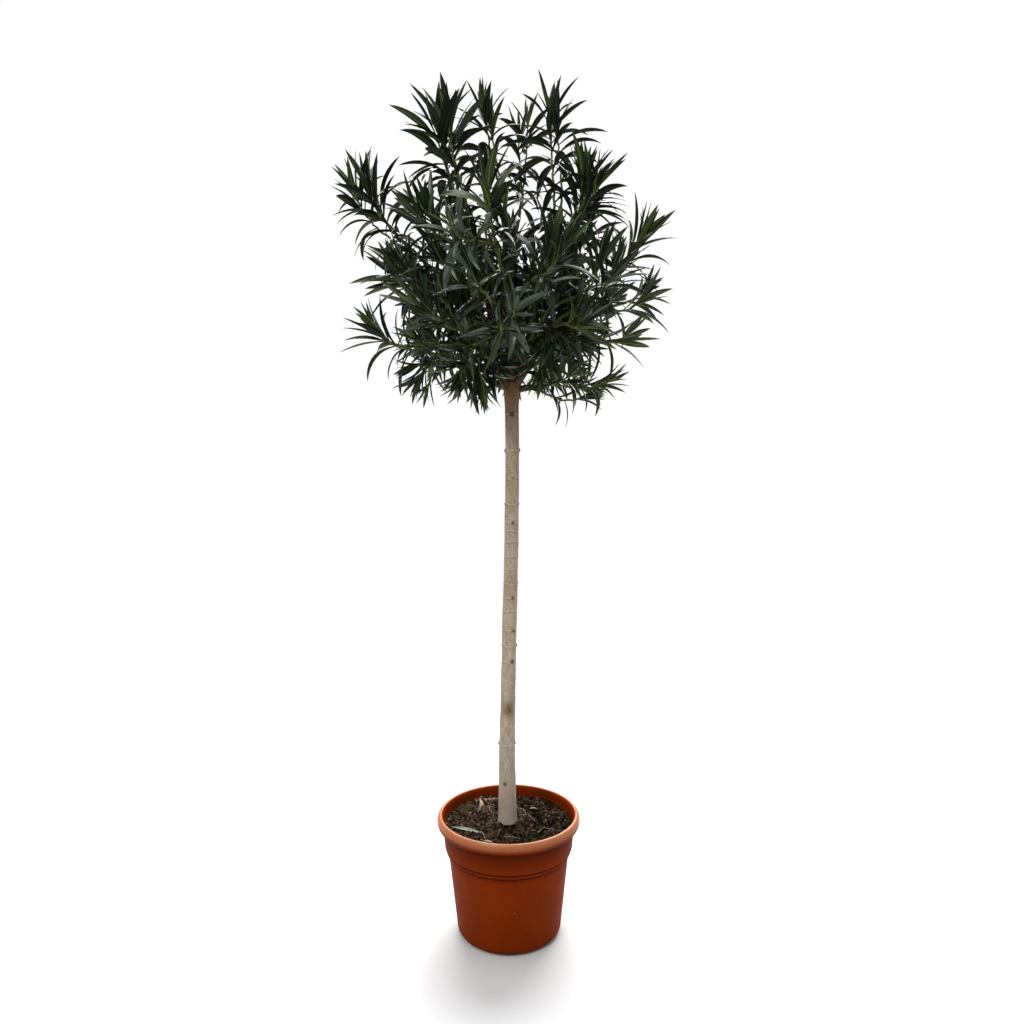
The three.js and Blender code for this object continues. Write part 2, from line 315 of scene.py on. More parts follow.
@dataclass(frozen=True)
class Plain:
    """One even colour, for pieces that are small or dealt out by spray."""

    name: str
    colour: Colour
    roughness: float = 0.6
    specular: float = 0.5

    def make(self) -> bpy.types.Material:
        """The material, made once."""
        known = bpy.data.materials.get(self.name)
        return known or Sheet(self.name, self.roughness, self.specular).finish(self.colour)


def made_of(*finishes: Plain) -> list[bpy.types.Material]:
    """The materials of some plain finishes, in their order."""
    return [finish.make() for finish in finishes]


@dataclass(frozen=True)
class PotPlastic:
    """Moulded pot plastic in a terracotta colour, dusty and a little scuffed, with a painted highlight on the
    top of the lip and painted shade in its grooves and under the lip.

    fade_highlight_from and fade_highlight_to are heights from the middle of the lip, between which it turns
    to the faded colour: partly the lip's own fading, partly a painted highlight on its lit top.
    """

    body: Colour = (0.196, 0.0235, 0.0003)
    deep: Colour = (0.128, 0.0170, 0.0006)
    faded_and_highlight: Colour = (0.465, 0.165, 0.066)
    grime: Colour = (0.060, 0.016, 0.006)
    shadow: Colour = (0.060, 0.0055, 0.0004)
    dust: Colour = (0.420, 0.230, 0.140)
    fade_highlight_from: float = -7 * MM
    fade_highlight_to: float = 10 * MM
    dirty_to: float = 20 * MM

    def make(self, lip_height: float) -> bpy.types.Material:
        """The material.

        Args:
            lip_height: where the lip's middle stands.

        Returns:
            A satin plastic that fades on the lip, with a painted highlight on the lip's top and painted shade
            in the grooves and under the lip, a little dust and a few scuffs.
        """
        sheet = Sheet("pot_plastic", 0.45, specular=0.02)
        cloud = sheet.lumps(0.05, 4)
        fine = sheet.lumps(0.004, 4, roughness=0.6)
        height = sheet.axis("Z")
        base = sheet.mix(cloud.between(0.35, 0.7) * 0.5, self.body, self.deep)
        outer = sheet.mask("outer")
        # The lip's top turns to the faded colour: partly its own fading, partly a painted highlight where the
        # light falls. The same mask adds a clear coat and smooths it.
        fade_and_highlight = height.between(lip_height + self.fade_highlight_from, lip_height + self.fade_highlight_to) * outer
        base = sheet.mix(fade_and_highlight * (0.75 + 0.25 * fine), base, self.faded_and_highlight)
        film = cloud.between(0.45, 0.8) * 0.012 + fine.between(0.6, 0.8) * 0.02
        base = sheet.mix(film, base, self.dust)
        flecks = sheet.spots(0.019, 0.07) * sheet.lumps(0.05, 1).between(0.50, 0.58)
        scuffs = sheet.lumps(0.007, 3, (1, 1, 0.5)).between(0.66, 0.74)
        rubbed = scuffs * sheet.lumps(0.04, 1).between(0.55, 0.65)
        base = sheet.mix(flecks * 0.6 + rubbed * 0.12, base, self.dust)
        # Painted shade: the shadow colour darkens the moulded grooves and the crease under the lip.
        base = sheet.mix(sheet.mask("groove") * 0.95, base, self.shadow)
        foot = height.between(self.dirty_to, 0.0) * sheet.lumps(0.008, 4).between(0.4, 0.65)
        base = sheet.mix(foot * 0.4, base, self.grime)
        rough = 0.40 + 0.15 * fine + 0.10 * cloud - 0.08 * fade_and_highlight
        sheet.feed(sheet.shader.inputs["Coat Weight"], fade_and_highlight * 0.6)
        sheet.shader.inputs["Coat Roughness"].default_value = 0.25
        relief = sheet.lumps(0.0016, 2) * 0.5 + sheet.lumps(0.02, 3) * 0.5
        return sheet.finish(base, rough, relief, 0.00025)


@dataclass(frozen=True)
class Bark:
    """Thin bark with pale scar rings, dark creases, pores and stains.

    It turns to the upper colour between the two shading heights, a painted shade under the crown over the
    head's redder bark, and is paler below the other pair of heights, a painted light on the foot.
    """

    name: str
    pale: Colour
    warm: Colour
    dark: Colour
    ring: Colour
    stain: Colour = (0.050, 0.028, 0.015)
    upper: Colour = (0.180, 0.076, 0.032)
    blotch: Colour = (0.17, 0.090, 0.042)
    shade_from: float = 1.0
    shade_to: float = 1.16
    shading: float = 0.9
    painted_light_base: tuple[float, float] = (0.42, 0.22)

    def make(self) -> bpy.types.Material:
        """The material, made once.

        Returns:
            A rough finish that reads the scar, crease, stain and blotch masks of the mesh.
        """
        known = bpy.data.materials.get(self.name)
        if known:
            return known
        sheet = Sheet(self.name, 0.8, specular=0.25)
        streak = sheet.lumps(0.0035, 6, (1, 1, 4), 0.65)
        patch = sheet.lumps(0.03, 4, (1, 1, 2), 0.6)
        base = sheet.mix(patch.between(0.35, 0.68), self.pale, self.warm)
        base = sheet.mix(streak.between(0.46, 0.72) * 0.6, base, self.dark)
        speck = sheet.lumps(0.0024, 4, (1, 1, 1.4), 0.7)
        base = sheet.mix(speck.between(0.52, 0.68) * 0.55, base, self.dark)
        base = sheet.mix(speck.between(0.46, 0.34) * 0.5, base, self.ring)
        base = sheet.mix(sheet.spots(0.0036, 0.36) * patch.between(0.3, 0.7) * 0.8, base, self.dark)
        height = sheet.axis("Z")
        # Darker and redder towards the head: painted shade under the crown, over the redder bark of the
        # pruned head.
        base = sheet.mix(height.between(self.shade_from, self.shade_to) * self.shading, base, self.upper)
        # Painted light: paler towards the foot of the stem.
        base = sheet.mix(height.between(*self.painted_light_base) * 0.5, base, self.ring)
        base = sheet.mix(sheet.mask("scar") * 0.8, base, self.ring)
        base = sheet.mix(sheet.mask("crease") * 0.6, base, self.dark)
        base = sheet.mix(sheet.mask("blotch") * (0.5 + 0.9 * streak), base, self.blotch)
        base = sheet.mix(sheet.mask("stain") * (0.7 + 0.3 * streak), base, self.stain)
        relief = streak * 0.4 + speck * 0.35 + sheet.lumps(0.003, 3, (5, 5, 0.5)) * 0.25
        return sheet.finish(base, 0.7 + 0.2 * streak, relief, 0.0009)


STEM_BARK = Bark(
    "stem_bark",
    pale=(0.49, 0.405, 0.305),
    warm=(0.40, 0.312, 0.220),
    dark=(0.17, 0.125, 0.083),
    ring=(0.62, 0.54, 0.43),
)
# Painted shade: the boughs' bark is a far darker copy of the stem's bark, standing for the shade inside the
# crown.
SHADED_LIMB_BARK = Bark(
    "limb_bark",
    pale=(0.070, 0.050, 0.030),
    warm=(0.050, 0.032, 0.018),
    dark=(0.024, 0.016, 0.010),
    ring=(0.110, 0.080, 0.050),
    shading=0.0,
)
STUB_FINISHES = [
    Plain("stub_bark", (0.115, 0.040, 0.016), 0.8, 0.2),
    Plain("stub_cut", (0.17, 0.07, 0.030), 0.8, 0.2),
]


@dataclass(frozen=True)
class PottingMix:
    """Dark potting mix, brown where it has dried, with its hollows kept dark as painted shade."""

    wet: Colour = (0.007, 0.005, 0.002)
    dry: Colour = (0.155, 0.098, 0.056)
    peat: Colour = (0.038, 0.022, 0.010)

    def make(self, level: float) -> bpy.types.Material:
        """The material.

        Args:
            level: the height of the soil, over which it is driest; below it the brown fades, so the hollows
                stay dark as painted shade.

        Returns:
            A rough dark finish with brown crumbs.
        """
        sheet = Sheet("potting_mix", 0.92, specular=0.08)
        fine = sheet.lumps(0.0035, 6, roughness=0.7)
        base = sheet.mix(sheet.lumps(0.03, 3).between(0.38, 0.66), self.wet, self.peat)
        # Painted shade: the dry brown is kept to the raised parts, so the hollows stay dark.
        raised_unshaded = sheet.axis("Z").between(level - 0.003, level + 0.006)
        dried = (sheet.axis("X").between(0.03, -0.06) * 0.75 + 0.25) * fine.between(0.44, 0.62) * raised_unshaded
        base = sheet.mix(dried, base, self.dry)
        return sheet.finish(base, 0.82 + 0.15 * fine, fine, 0.003)


class Green(Enum):
    """The greens of a leaf: the upper side, the under side and the midrib. The under sides are darkened as
    painted shade under the leaves.
    """

    DEEP = ((0.0060, 0.0170, 0.0068), (0.0095, 0.018, 0.007), (0.048, 0.084, 0.020), 0.24)
    SHADE = ((0.0090, 0.0225, 0.0085), (0.0125, 0.022, 0.009), (0.048, 0.080, 0.022), 0.26)
    MIDDLE = ((0.0140, 0.0330, 0.0090), (0.0175, 0.031, 0.011), (0.070, 0.118, 0.026), 0.26)
    OLIVE = ((0.0280, 0.0400, 0.0080), (0.0280, 0.038, 0.012), (0.110, 0.140, 0.034), 0.28)
    # Painted sheen: GREY is a paler grey green, dealt to older arching leaves in place of the sky's
    # reflection on them.
    GREY = ((0.0520, 0.0780, 0.0480), (0.0480, 0.068, 0.040), (0.082, 0.114, 0.056), 0.22)
    YOUNG = ((0.0290, 0.0560, 0.0085), (0.0400, 0.064, 0.016), (0.175, 0.225, 0.046), 0.26)

    def finishes(self) -> list[Plain]:
        """The three finishes of this green.

        Returns:
            The upper side, the under side and the midrib.
        """
        upper, under, rib, rough = self.value
        tone = self.name.lower()
        return [
            Plain(f"leaf_{tone}", upper, rough, 0.56),
            Plain(f"leaf_{tone}_under", under, 0.55, 0.2),
            Plain(f"leaf_{tone}_rib", rib, 0.5, 0.4),
        ]


GREENS = list(Green)
LEAF_FINISHES = [finish for green in GREENS for finish in green.finishes()]
TWIG_FINISHES = [
    Plain("twig_green", (0.110, 0.125, 0.026), 0.5, 0.3),
    Plain("twig_brown", (0.070, 0.056, 0.028), 0.7, 0.2),
]


# ------------------------------------------------------------------------------------------ meshes


@dataclass
class Patch:
    """Points, faces and the finish of each face, before they become an object."""

    points: np.ndarray
    faces: list[np.ndarray]
    finish: list[np.ndarray] = field(default_factory=list)

    def finishes(self) -> list[np.ndarray]:
        """One finish number for each face, 0 where none was given."""
        return self.finish or [np.zeros(len(rows), int) for rows in self.faces]


def object_from(name: str, patches: list[Patch], materials: list[bpy.types.Material], smooth: bool = True,
                masks: dict[str, np.ndarray] | None = None) -> bpy.types.Object:
    """Joins patches into one mesh object.

    Args:
        name: the object's name.
        patches: what it is made of.
        materials: its materials, in the order of the finish numbers.
        smooth: whether its faces are shaded smooth.
        masks: numbers to keep at each point, by name.

    Returns:
        The new object.
    """
    starts = np.cumsum([0] + [len(patch.points) for patch in patches])
    rows = [(face + start) for patch, start in zip(patches, starts) for face in patch.faces]
    finish = np.concatenate([f for patch in patches for f in patch.finishes()])
    totals = np.concatenate([np.full(len(face), face.shape[1]) for face in rows])
    loops = np.concatenate([face.ravel() for face in rows])
    mesh = bpy.data.meshes.new(name)
    mesh.vertices.add(int(starts[-1]))
    mesh.vertices.foreach_set("co", np.concatenate([patch.points for patch in patches]).ravel())
    mesh.loops.add(len(loops))
    mesh.loops.foreach_set("vertex_index", loops.astype(np.int32))
    mesh.polygons.add(len(totals))
    mesh.polygons.foreach_set("loop_start", (np.cumsum(totals) - totals).astype(np.int32))
    mesh.polygons.foreach_set("material_index", finish.astype(np.int32))
    mesh.polygons.foreach_set("use_smooth", np.full(len(totals), smooth))
    for key, numbers in (masks or {}).items():
        mesh.attributes.new(key, "FLOAT", "POINT").data.foreach_set("value", numbers.astype(np.float32))
    for material in materials:
        mesh.materials.append(material)
    mesh.update(calc_edges=True)
    mesh.validate()
    made = bpy.data.objects.new(name, mesh)
    bpy.context.scene.collection.objects.link(made)
    return made


def settle(piece: bpy.types.Object, slot: str, *nodes: str) -> bpy.types.Object:
    """Fixes a finished piece to the plant and hides the nodes that it stands for.

    Args:
        piece: the finished piece.
        slot: not used.
        nodes: the CAD nodes that it stands for.

    Returns:
        The piece.
    """
    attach(piece, "root")
    if nodes:
        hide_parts(*nodes)
    LOG.info("%s: %d faces", piece.name, len(piece.data.polygons))
    return piece


def grid_faces(rings: int, sides: int) -> np.ndarray:
    """The quads of a tube, facing outward when its rings turn left about the way they run.

    Args:
        rings: how many rings of points it has.
        sides: how many points a ring has.

    Returns:
        Four point numbers to a row.
    """
    ring, side = np.meshgrid(np.arange(rings - 1), np.arange(sides), indexing="ij")
    ring, side, ahead = ring.ravel(), side.ravel(), ((side + 1) % sides).ravel()
    low, high = ring * sides, (ring + 1) * sides
    return np.stack([low + side, low + ahead, high + ahead, high + side], axis=1)


def skin(rings: int, sides: int) -> list[np.ndarray]:
    """The faces of a tube that is closed at both its ends.

    Args:
        rings: how many rings of points it has.
        sides: how many points a ring has.

    Returns:
        Its quads, and the face of each end.
    """
    first = np.arange(sides)[::-1][None, :]
    last = (np.arange(sides) + (rings - 1) * sides)[None, :]
    return [grid_faces(rings, sides), first, last]


def round_points(sides: int) -> np.ndarray:
    """Points round a circle of radius 1, as X and Y."""
    turn = np.linspace(0, 2 * math.pi, sides, endpoint=False)
    return np.stack([np.cos(turn), np.sin(turn)], axis=1)


def tube(line: np.ndarray, radius: np.ndarray, sides: int, finish: int = 0) -> Patch:
    """A closed tube along a line, with a radius at each of its points.

    Args:
        line: the points of its centre.
        radius: the radius at each.
        sides: how many sides it has.
        finish: its finish number.

    Returns:
        The tube with both its ends closed.
    """
    along = unit(np.gradient(line, axis=0))
    across = unit(np.cross(along[0], (0.31, 0.93, 0.2)))
    out, up = round_points(sides).T
    rings = []
    for place, ahead, width in zip(line, along, radius):
        across = unit(across - ahead * (across @ ahead))
        other = np.cross(ahead, across)
        rings.append(place + width * (np.outer(out, across) + np.outer(up, other)))
    faces = skin(len(line), sides)
    return Patch(np.concatenate(rings), faces, [np.full(len(rows), finish) for rows in faces])


def fillet(outline: list[tuple[float, float, float]], steps: int = 4) -> np.ndarray:
    """Rounds the corners of an open outline.

    Args:
        outline: radius, height and rounding of each corner.
        steps: how many pieces each rounding has.

    Returns:
        The rounded outline's radii and heights.
    """
    places = np.array([corner[:2] for corner in outline])
    rounded = [places[0]]
    for index in range(1, len(places) - 1):
        corner, rounding = places[index], outline[index][2]
        back, ahead = places[index - 1] - corner, places[index + 1] - corner
        reach = min(rounding, 0.45 * np.linalg.norm(back), 0.45 * np.linalg.norm(ahead))
        if reach <= 0:
            rounded.append(corner)
            continue
        start, end = corner + unit(back) * reach, corner + unit(ahead) * reach
        rounded.extend(bend(start, corner, end, steps + 1))
    return np.array([*rounded, places[-1]])


def small_ball() -> Patch:
    """Makes a ball.

    Returns:
        A patch of 20 three-sided faces, with a radius of 1.
    """
    edge = 2.0
    golden = (1 + math.sqrt(5)) / 2
    places = [(x, y, 0) for x in (-1, 1) for y in (-golden, golden)]
    turned = [(z, x, y) for x, y, z in places], [(y, z, x) for x, y, z in places]
    points = np.array([*places, *turned[0], *turned[1]], float)
    faces = []
    for a in range(12):
        for b in range(a + 1, 12):
            for c in range(b + 1, 12):
                sides = [np.linalg.norm(points[i] - points[j]) for i, j in ((a, b), (b, c), (a, c))]
                if max(sides) < edge + 0.01:
                    outward = np.cross(points[b] - points[a], points[c] - points[a]) @ points[a] > 0
                    faces.append((a, b, c) if outward else (a, c, b))
    return Patch(unit(points), [np.array(faces)])


BALL = small_ball()


# ------------------------------------------------------------------------------------------ pot


@dataclass
class Pot:
    """The moulded pot: foot, tapered wall, bead, upper band and rolled lip.

    step, bead and band are each a radius and a height. creases are the heights and half widths of the
    moulded lines that are darkened as painted shade, and lip_shade_line the same for the painted shade under
    the lip, its height as a share of the lip's. notch is the length, width and height of the block that cuts
    a notch.
    """

    foot: float = 109 * MM
    chamfer: float = 7 * MM
    step: tuple[float, float] = (126 * MM, 168 * MM)
    bead: tuple[float, float] = (131.0 * MM, 175.5 * MM)
    band: tuple[float, float] = (134 * MM, 182 * MM)
    under_lip: float = 138.5 * MM
    lip_half: tuple[float, float] = (7 * MM, 12 * MM)
    creases: tuple[tuple[float, float], ...] = ((170.0 * MM, 2.7 * MM), (179.8 * MM, 2.0 * MM))
    lip_shade_line: tuple[float, float] = (0.84, 2.4 * MM)
    crease_shade_gain: float = 1.4
    wall: float = 3.2 * MM
    floor: float = 4 * MM
    sides: int = 224
    notches: int = 3
    first_notch: float = -42.0
    notch: Triple = (20 * MM, 20 * MM, 11 * MM)
    rim: float = field(init=False)
    top: float = field(init=False)

    def __post_init__(self) -> None:
        """Takes the rim and the top from the frame."""
        low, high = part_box("pot")
        self.rim = (high.x - low.x) / 2
        self.top = high.z

    @property
    def lip(self) -> float:
        """Height of the lip's middle."""
        return self.top - self.lip_half[1]

    def inner(self, height: float) -> float:
        """Radius of the inside wall.

        Args:
            height: where, over the floor that the pot stands on.

        Returns:
            The radius there.
        """
        heights = (self.floor, self.step[1] + 5 * MM, self.band[1] + 3 * MM, self.lip)
        radii = (self.foot, self.step[0], self.band[0], self.rim - 2 * self.lip_half[0] + self.wall)
        return float(np.interp(height, heights, radii)) - self.wall

    def profile(self) -> np.ndarray:
        """The outline of the wall.

        Returns:
            Radii and heights from the middle of the foot, round the lip, to the middle of the floor.
        """
        half, tall = self.lip_half
        groove = 2.0 * MM
        bead, band, step = self.bead, self.band, self.step
        outside = [
            (0.0, 0.0, 0),
            (self.foot - 1.35 * self.chamfer, 0.0, 1.2 * MM),
            (self.foot - 0.2 * MM, 1.2 * self.chamfer, 6 * MM),
            (step[0] - 0.9 * MM, step[1] - 8 * MM, 0),
            (step[0], step[1], 0.8 * MM),
            (step[0] - 0.4 * MM, step[1] + 0.8 * groove, 0.5 * MM),
            (step[0] + 0.6 * MM, step[1] + 1.5 * groove, 0.5 * MM),
            (bead[0] - 0.6 * MM, step[1] + 2.4 * groove, 0.8 * MM),
            (bead[0], bead[1], 1.2 * MM),
            (bead[0] - 0.4 * MM, band[1] - 1.9 * groove, 0.6 * MM),
            (bead[0] - 2.2 * MM, band[1] - 1.3 * groove, 0.4 * MM),
            (band[0] - 0.8 * MM, band[1] - 0.5 * groove, 0.8 * MM),
            (band[0], band[1] + 2.0 * MM, 1.5 * MM),
            (self.under_lip - 0.6 * MM, self.lip - 0.86 * tall, 0.8 * MM),
        ]
        turn = np.linspace(-0.62, 1.06, 30) * math.pi
        roll = [(self.rim - half + half * math.cos(t), self.lip + tall * math.sin(t), 0) for t in turn]
        bends = (self.lip - 0.6 * tall, band[1] + 3 * MM, step[1] + 5 * MM, self.floor)
        inside = [(self.inner(height), height, 3 * MM) for height in bends]
        return fillet([*outside, *roll, *inside, (0.0, self.floor, 0)])

    def build(self) -> bpy.types.Object:
        """Turns the outline, cuts the drainage notches and dresses the pot.

        Returns:
            The finished shell.
        """
        outline = self.profile()[1:-1]
        circle = round_points(self.sides)
        rings = [np.column_stack([radius * circle, np.full(self.sides, z)]) for radius, z in outline]
        wall = Patch(np.concatenate(rings), skin(len(outline), self.sides))
        crest = int(np.argmax(outline[:, 1]))
        outside = np.arange(len(outline)) <= crest + 2
        share, width = self.lip_shade_line
        # Where the grooves and the crease under the lip lie, as a mask for painted shade.
        lines = (*self.creases, (self.lip - share * self.lip_half[1], width))
        creases = [np.exp(-(((outline[:, 1] - at) / half) ** 2)) for at, half in lines]
        groove = np.clip(self.crease_shade_gain * outside * sum(creases), 0, 1)
        masks = {"outer": np.repeat(outside, self.sides), "groove": np.repeat(groove, self.sides)}
        pot = object_from("pot_shell", [wall], [PotPlastic().make(self.lip)], masks=masks)
        cutters = [self.cutter(index) for index in range(self.notches)]
        for cutter in cutters:
            cut = pot.modifiers.new("notch", "BOOLEAN")
            cut.solver = "MANIFOLD"
            cut.object = cutter
        evaluated = pot.evaluated_get(bpy.context.evaluated_depsgraph_get())
        pot.data = bpy.data.meshes.new_from_object(evaluated)
        pot.modifiers.clear()
        for cutter in cutters:
            bpy.data.objects.remove(cutter)
        return settle(pot, "pot_plastic", "pot")

    def cutter(self, index: int) -> bpy.types.Object:
        """The block that cuts one drainage notch out of the edge of the foot.

        Args:
            index: which notch.

        Returns:
            The block, in place.
        """
        half = np.array(self.notch) / 2
        block = np.array([(x, y, z) for x in (-1, 1) for y in (-1, 1) for z in (-1, 1)]) * half
        block[:, 0] += self.foot
        turn = math.radians(self.first_notch + 360 / self.notches * index)
        spin = np.array([(math.cos(turn), -math.sin(turn)), (math.sin(turn), math.cos(turn))])
        block[:, :2] = block[:, :2] @ spin.T
        quads = np.array([(0, 1, 3, 2), (4, 6, 7, 5), (0, 4, 5, 1), (2, 3, 7, 6), (0, 2, 6, 4), (1, 5, 7, 3)])
        return object_from(f"notch_{index}", [Patch(block, [quads])], [], smooth=False)


# ------------------------------------------------------------------------------------------ soil


class Crumb(Enum):
    """What the crumbs on the soil are: a finish, and its share of them."""

    BLACK = (Plain("crumb_black", (0.008, 0.006, 0.004), 0.95, 0.0), 0.45)
    BROWN = (Plain("crumb_brown", (0.050, 0.029, 0.016), 0.9, 0.0), 0.25)
    TAN = (Plain("crumb_tan", (0.150, 0.100, 0.062), 0.9, 0.0), 0.13)
    GREY = (Plain("crumb_grey", (0.095, 0.080, 0.062), 0.9, 0.0), 0.10)
    RED = (Plain("crumb_red", (0.130, 0.058, 0.034), 0.9, 0.0), 0.06)
    GRIT = (Plain("grit_white", (0.62, 0.60, 0.55), 0.8, 0.3), 0.01)


FALLEN_FINISHES = [
    Plain("fallen_leaf", (0.145, 0.170, 0.120), 0.6),
    Plain("fallen_under", (0.17, 0.18, 0.13), 0.7),
    Plain("fallen_rib", (0.21, 0.22, 0.15), 0.7),
    Plain("dry_leaf", (0.36, 0.24, 0.17), 0.75),
    Plain("dry_under", (0.30, 0.24, 0.17), 0.8),
    Plain("dry_rib", (0.36, 0.29, 0.2), 0.8),
]
MOSS_FINISHES = [
    Plain("moss_dark", (0.018, 0.032, 0.008), 0.95, 0.2),
    Plain("moss_light", (0.040, 0.062, 0.015), 0.95, 0.2),
]


@dataclass(frozen=True)
class Fallen:
    """A leaf on the soil: where its foot lies, the ways it runs and faces, and its shape in millimetres."""

    place: tuple[float, float]
    along: Triple
    upper: Triple
    length: float
    width: float
    recurve: float
    fold: float
    twist: float
    tone: int


@dataclass(frozen=True)
class Strand:
    """A root thread or dead twig on the soil: its start, its bend, its end, and its radius in millimetres."""

    start: tuple[float, float]
    middle: tuple[float, float]
    end: tuple[float, float]
    radius: float


@dataclass(frozen=True)
class Clump:
    """Small lumps strewn round a place.

    spread is how far they stray in X and Y, and size the least size and what may be added to it, all in
    millimetres.
    """

    place: tuple[float, float]
    spread: tuple[float, float]
    count: int
    size: tuple[float, float]


@dataclass
class Soil:
    """The potting mix with its crumbs, grit, moss and fallen leaves.

    swells are the height, the width and the noise seed of its unevenness, from coarse to fine. hump is the
    height and width of the rise at hump_at, and mound those of the one round the trunk, its width in
    trunk radii.
    """

    pot: Pot
    trunk_place: np.ndarray
    trunk_radius: float
    level: float = field(init=False)
    spacing: float = 1.7 * MM
    sides: int = 288
    layers: int = 24
    crumbs: int = 3200
    heaped: int = 260
    swells: tuple[Triple, ...] = ((4.5 * MM, 0.045, 3.1), (4.4 * MM, 0.013, 8.2), (3.4 * MM, 0.0065, 1.4))
    hump: tuple[float, float] = (4.0 * MM, 0.035)
    hump_at: tuple[float, float] = (-0.045, 0.075)
    mound: tuple[float, float] = (3.5 * MM, 1.8)
    litter_lift: float = 7 * MM
    fallen: tuple[Fallen, ...] = (
        Fallen((-0.118, -0.030), (0.9, -0.32, 0.02), (0.0, -0.30, 1.0), 66, 10, 0.15, 0.35, 0.2, 0),
        Fallen((-0.066, 0.094), (0.35, -0.9, 0.25), (0.7, -0.3, 0.7), 54, 19, 1.1, 0.5, 0.7, 1),
        Fallen((0.064, 0.052), (-0.8, 0.5, 0.05), (0.1, 0.2, 1.0), 38, 8, 0.9, 0.5, 0.5, 1),
        Fallen((-0.030, -0.100), (-0.7, 0.6, 0.1), (0.1, 0.1, 1.0), 32, 6, 0.6, 0.4, 0.4, 1),
    )
    strands: tuple[Strand, ...] = (
        Strand((-0.068, -0.045), (-0.050, -0.052), (-0.047, -0.078), 1.1),
        Strand((0.020, 0.062), (0.042, 0.048), (0.034, 0.018), 0.9),
        Strand((0.022, 0.020), (0.050, 0.022), (0.056, -0.004), 0.8),
        Strand((0.060, -0.050), (0.072, -0.030), (0.092, -0.036), 0.7),
        Strand((-0.030, 0.030), (-0.045, 0.040), (-0.040, 0.066), 0.8),
        Strand((-0.010, -0.070), (0.012, -0.084), (0.030, -0.078), 0.7),
    )
    dried: Clump = Clump((-0.052, 0.112), (15, 4), 90, (1.2, 1.6))
    moss: Clump = Clump((0.034, -0.058), (9, 17), 160, (0.7, 0.8))
    seed: int = 5

    def __post_init__(self) -> None:
        """Takes the level from the frame and starts the random stream."""
        self.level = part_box("soil")[1].z - 4.5 * MM
        self.random = np.random.default_rng(self.seed)

    def height(self, places: np.ndarray) -> np.ndarray:
        """Height of the soil.

        Args:
            places: X and Y of each place.

        Returns:
            The height at each.
        """
        flat = np.column_stack([places, np.zeros(len(places))])
        rise = sum(tall * grain(flat, wide, seed) for tall, wide, seed in self.swells)
        tall, wide = self.hump
        rise = rise + tall * np.exp(-np.sum((places - np.array(self.hump_at)) ** 2, axis=1) / wide**2)
        tall, wide = self.mound
        out = np.linalg.norm(places - self.trunk_place, axis=1)
        return self.level + rise + tall * np.exp(-((out / (wide * self.trunk_radius)) ** 2))

    def build(self) -> None:
        """Lays the soil, its crumbs and its litter."""
        edge = self.pot.inner(self.level) - 0.6 * MM
        rings = int(edge / self.spacing)
        circle = round_points(self.sides)
        layers = []
        for height in np.linspace(self.pot.floor + 0.5 * MM, self.level - 4 * MM, self.layers):
            radius = self.pot.inner(height) - 0.8 * MM
            layers.append(np.column_stack([radius * circle, np.full(self.sides, height)]))
        for radius in np.linspace(edge, self.spacing, rings):
            flat = radius * circle
            layers.append(np.column_stack([flat, self.height(flat)]))
        bed = Patch(np.concatenate(layers), skin(len(layers), self.sides))
        settle(object_from("soil_bed", [bed], [PottingMix().make(self.level)]), "potting_soil", "soil")
        self.build_crumbs(edge)
        self.build_fallen()
        self.build_strands()
        self.build_clump("dried_clump", self.dried, [Plain("dried_clump", (0.30, 0.205, 0.170), 0.9, 0.2)])
        self.build_clump("moss", self.moss, MOSS_FINISHES)

    def lump(self, centre: np.ndarray, size: np.ndarray, finish: int) -> Patch:
        """One rough crumb: a small ball pushed out of shape.

        Args:
            centre: its middle.
            size: its three half sizes.
            finish: its finish number.

        Returns:
            The crumb.
        """
        ball = BALL.points * (1 + 0.28 * self.random.standard_normal((len(BALL.points), 1)))
        spin = np.linalg.qr(self.random.standard_normal((3, 3)))[0]
        if np.linalg.det(spin) < 0:
            spin[:, 0] *= -1
        points = (ball * size) @ spin.T + centre
        return Patch(points, BALL.faces, [np.full(len(rows), finish) for rows in BALL.faces])

    def build_crumbs(self, edge: float) -> None:
        """Strews crumbs, bark chips and grit over the soil, heaps some against the trunk, and makes damp
        crumbs in the hollows black as painted shade.

        Args:
            edge: the radius of the soil.
        """
        odds = [share for _, share in (crumb.value for crumb in Crumb)]
        reach = edge * np.sqrt(self.random.random(self.crumbs)) * 0.985
        turn = self.random.random(self.crumbs) * 2 * math.pi
        flat = np.column_stack([reach * np.cos(turn), reach * np.sin(turn)])
        clear = np.linalg.norm(flat - self.trunk_place, axis=1) > self.trunk_radius - 1.5 * MM
        around = self.random.random(self.heaped) * 2 * math.pi
        off = self.trunk_radius + 3.5 * MM * self.random.random(self.heaped)
        heap = self.trunk_place + np.column_stack([off * np.cos(around), off * np.sin(around)])
        flat = np.concatenate([flat[clear], heap])
        patches = []
        for place, height in zip(flat, self.height(flat)):
            size = (0.7 + 2.6 * self.random.random() ** 3.5) * MM
            damp = self.random.random() < 0.25 + 0.45 * ease(place[0], -0.03, 0.05)
            # Damp crumbs, more of them to the right, turn black where they lie low: painted shade in the
            # hollows, over the damper side's own darker crumbs.
            low = height < self.level + 3 * MM * self.random.random()
            finish = 0 if damp and low else int(self.random.choice(len(Crumb), p=odds))
            if finish == len(Crumb) - 1:
                size = 0.9 * MM
            shape = size * (0.7 + 0.7 * self.random.random(3))
            patches.append(self.lump(np.array([*place, height + 0.25 * size]), shape, finish))
        finishes = made_of(*(crumb.value[0] for crumb in Crumb))
        settle(object_from("soil_crumbs", patches, finishes, smooth=False), "potting_soil")

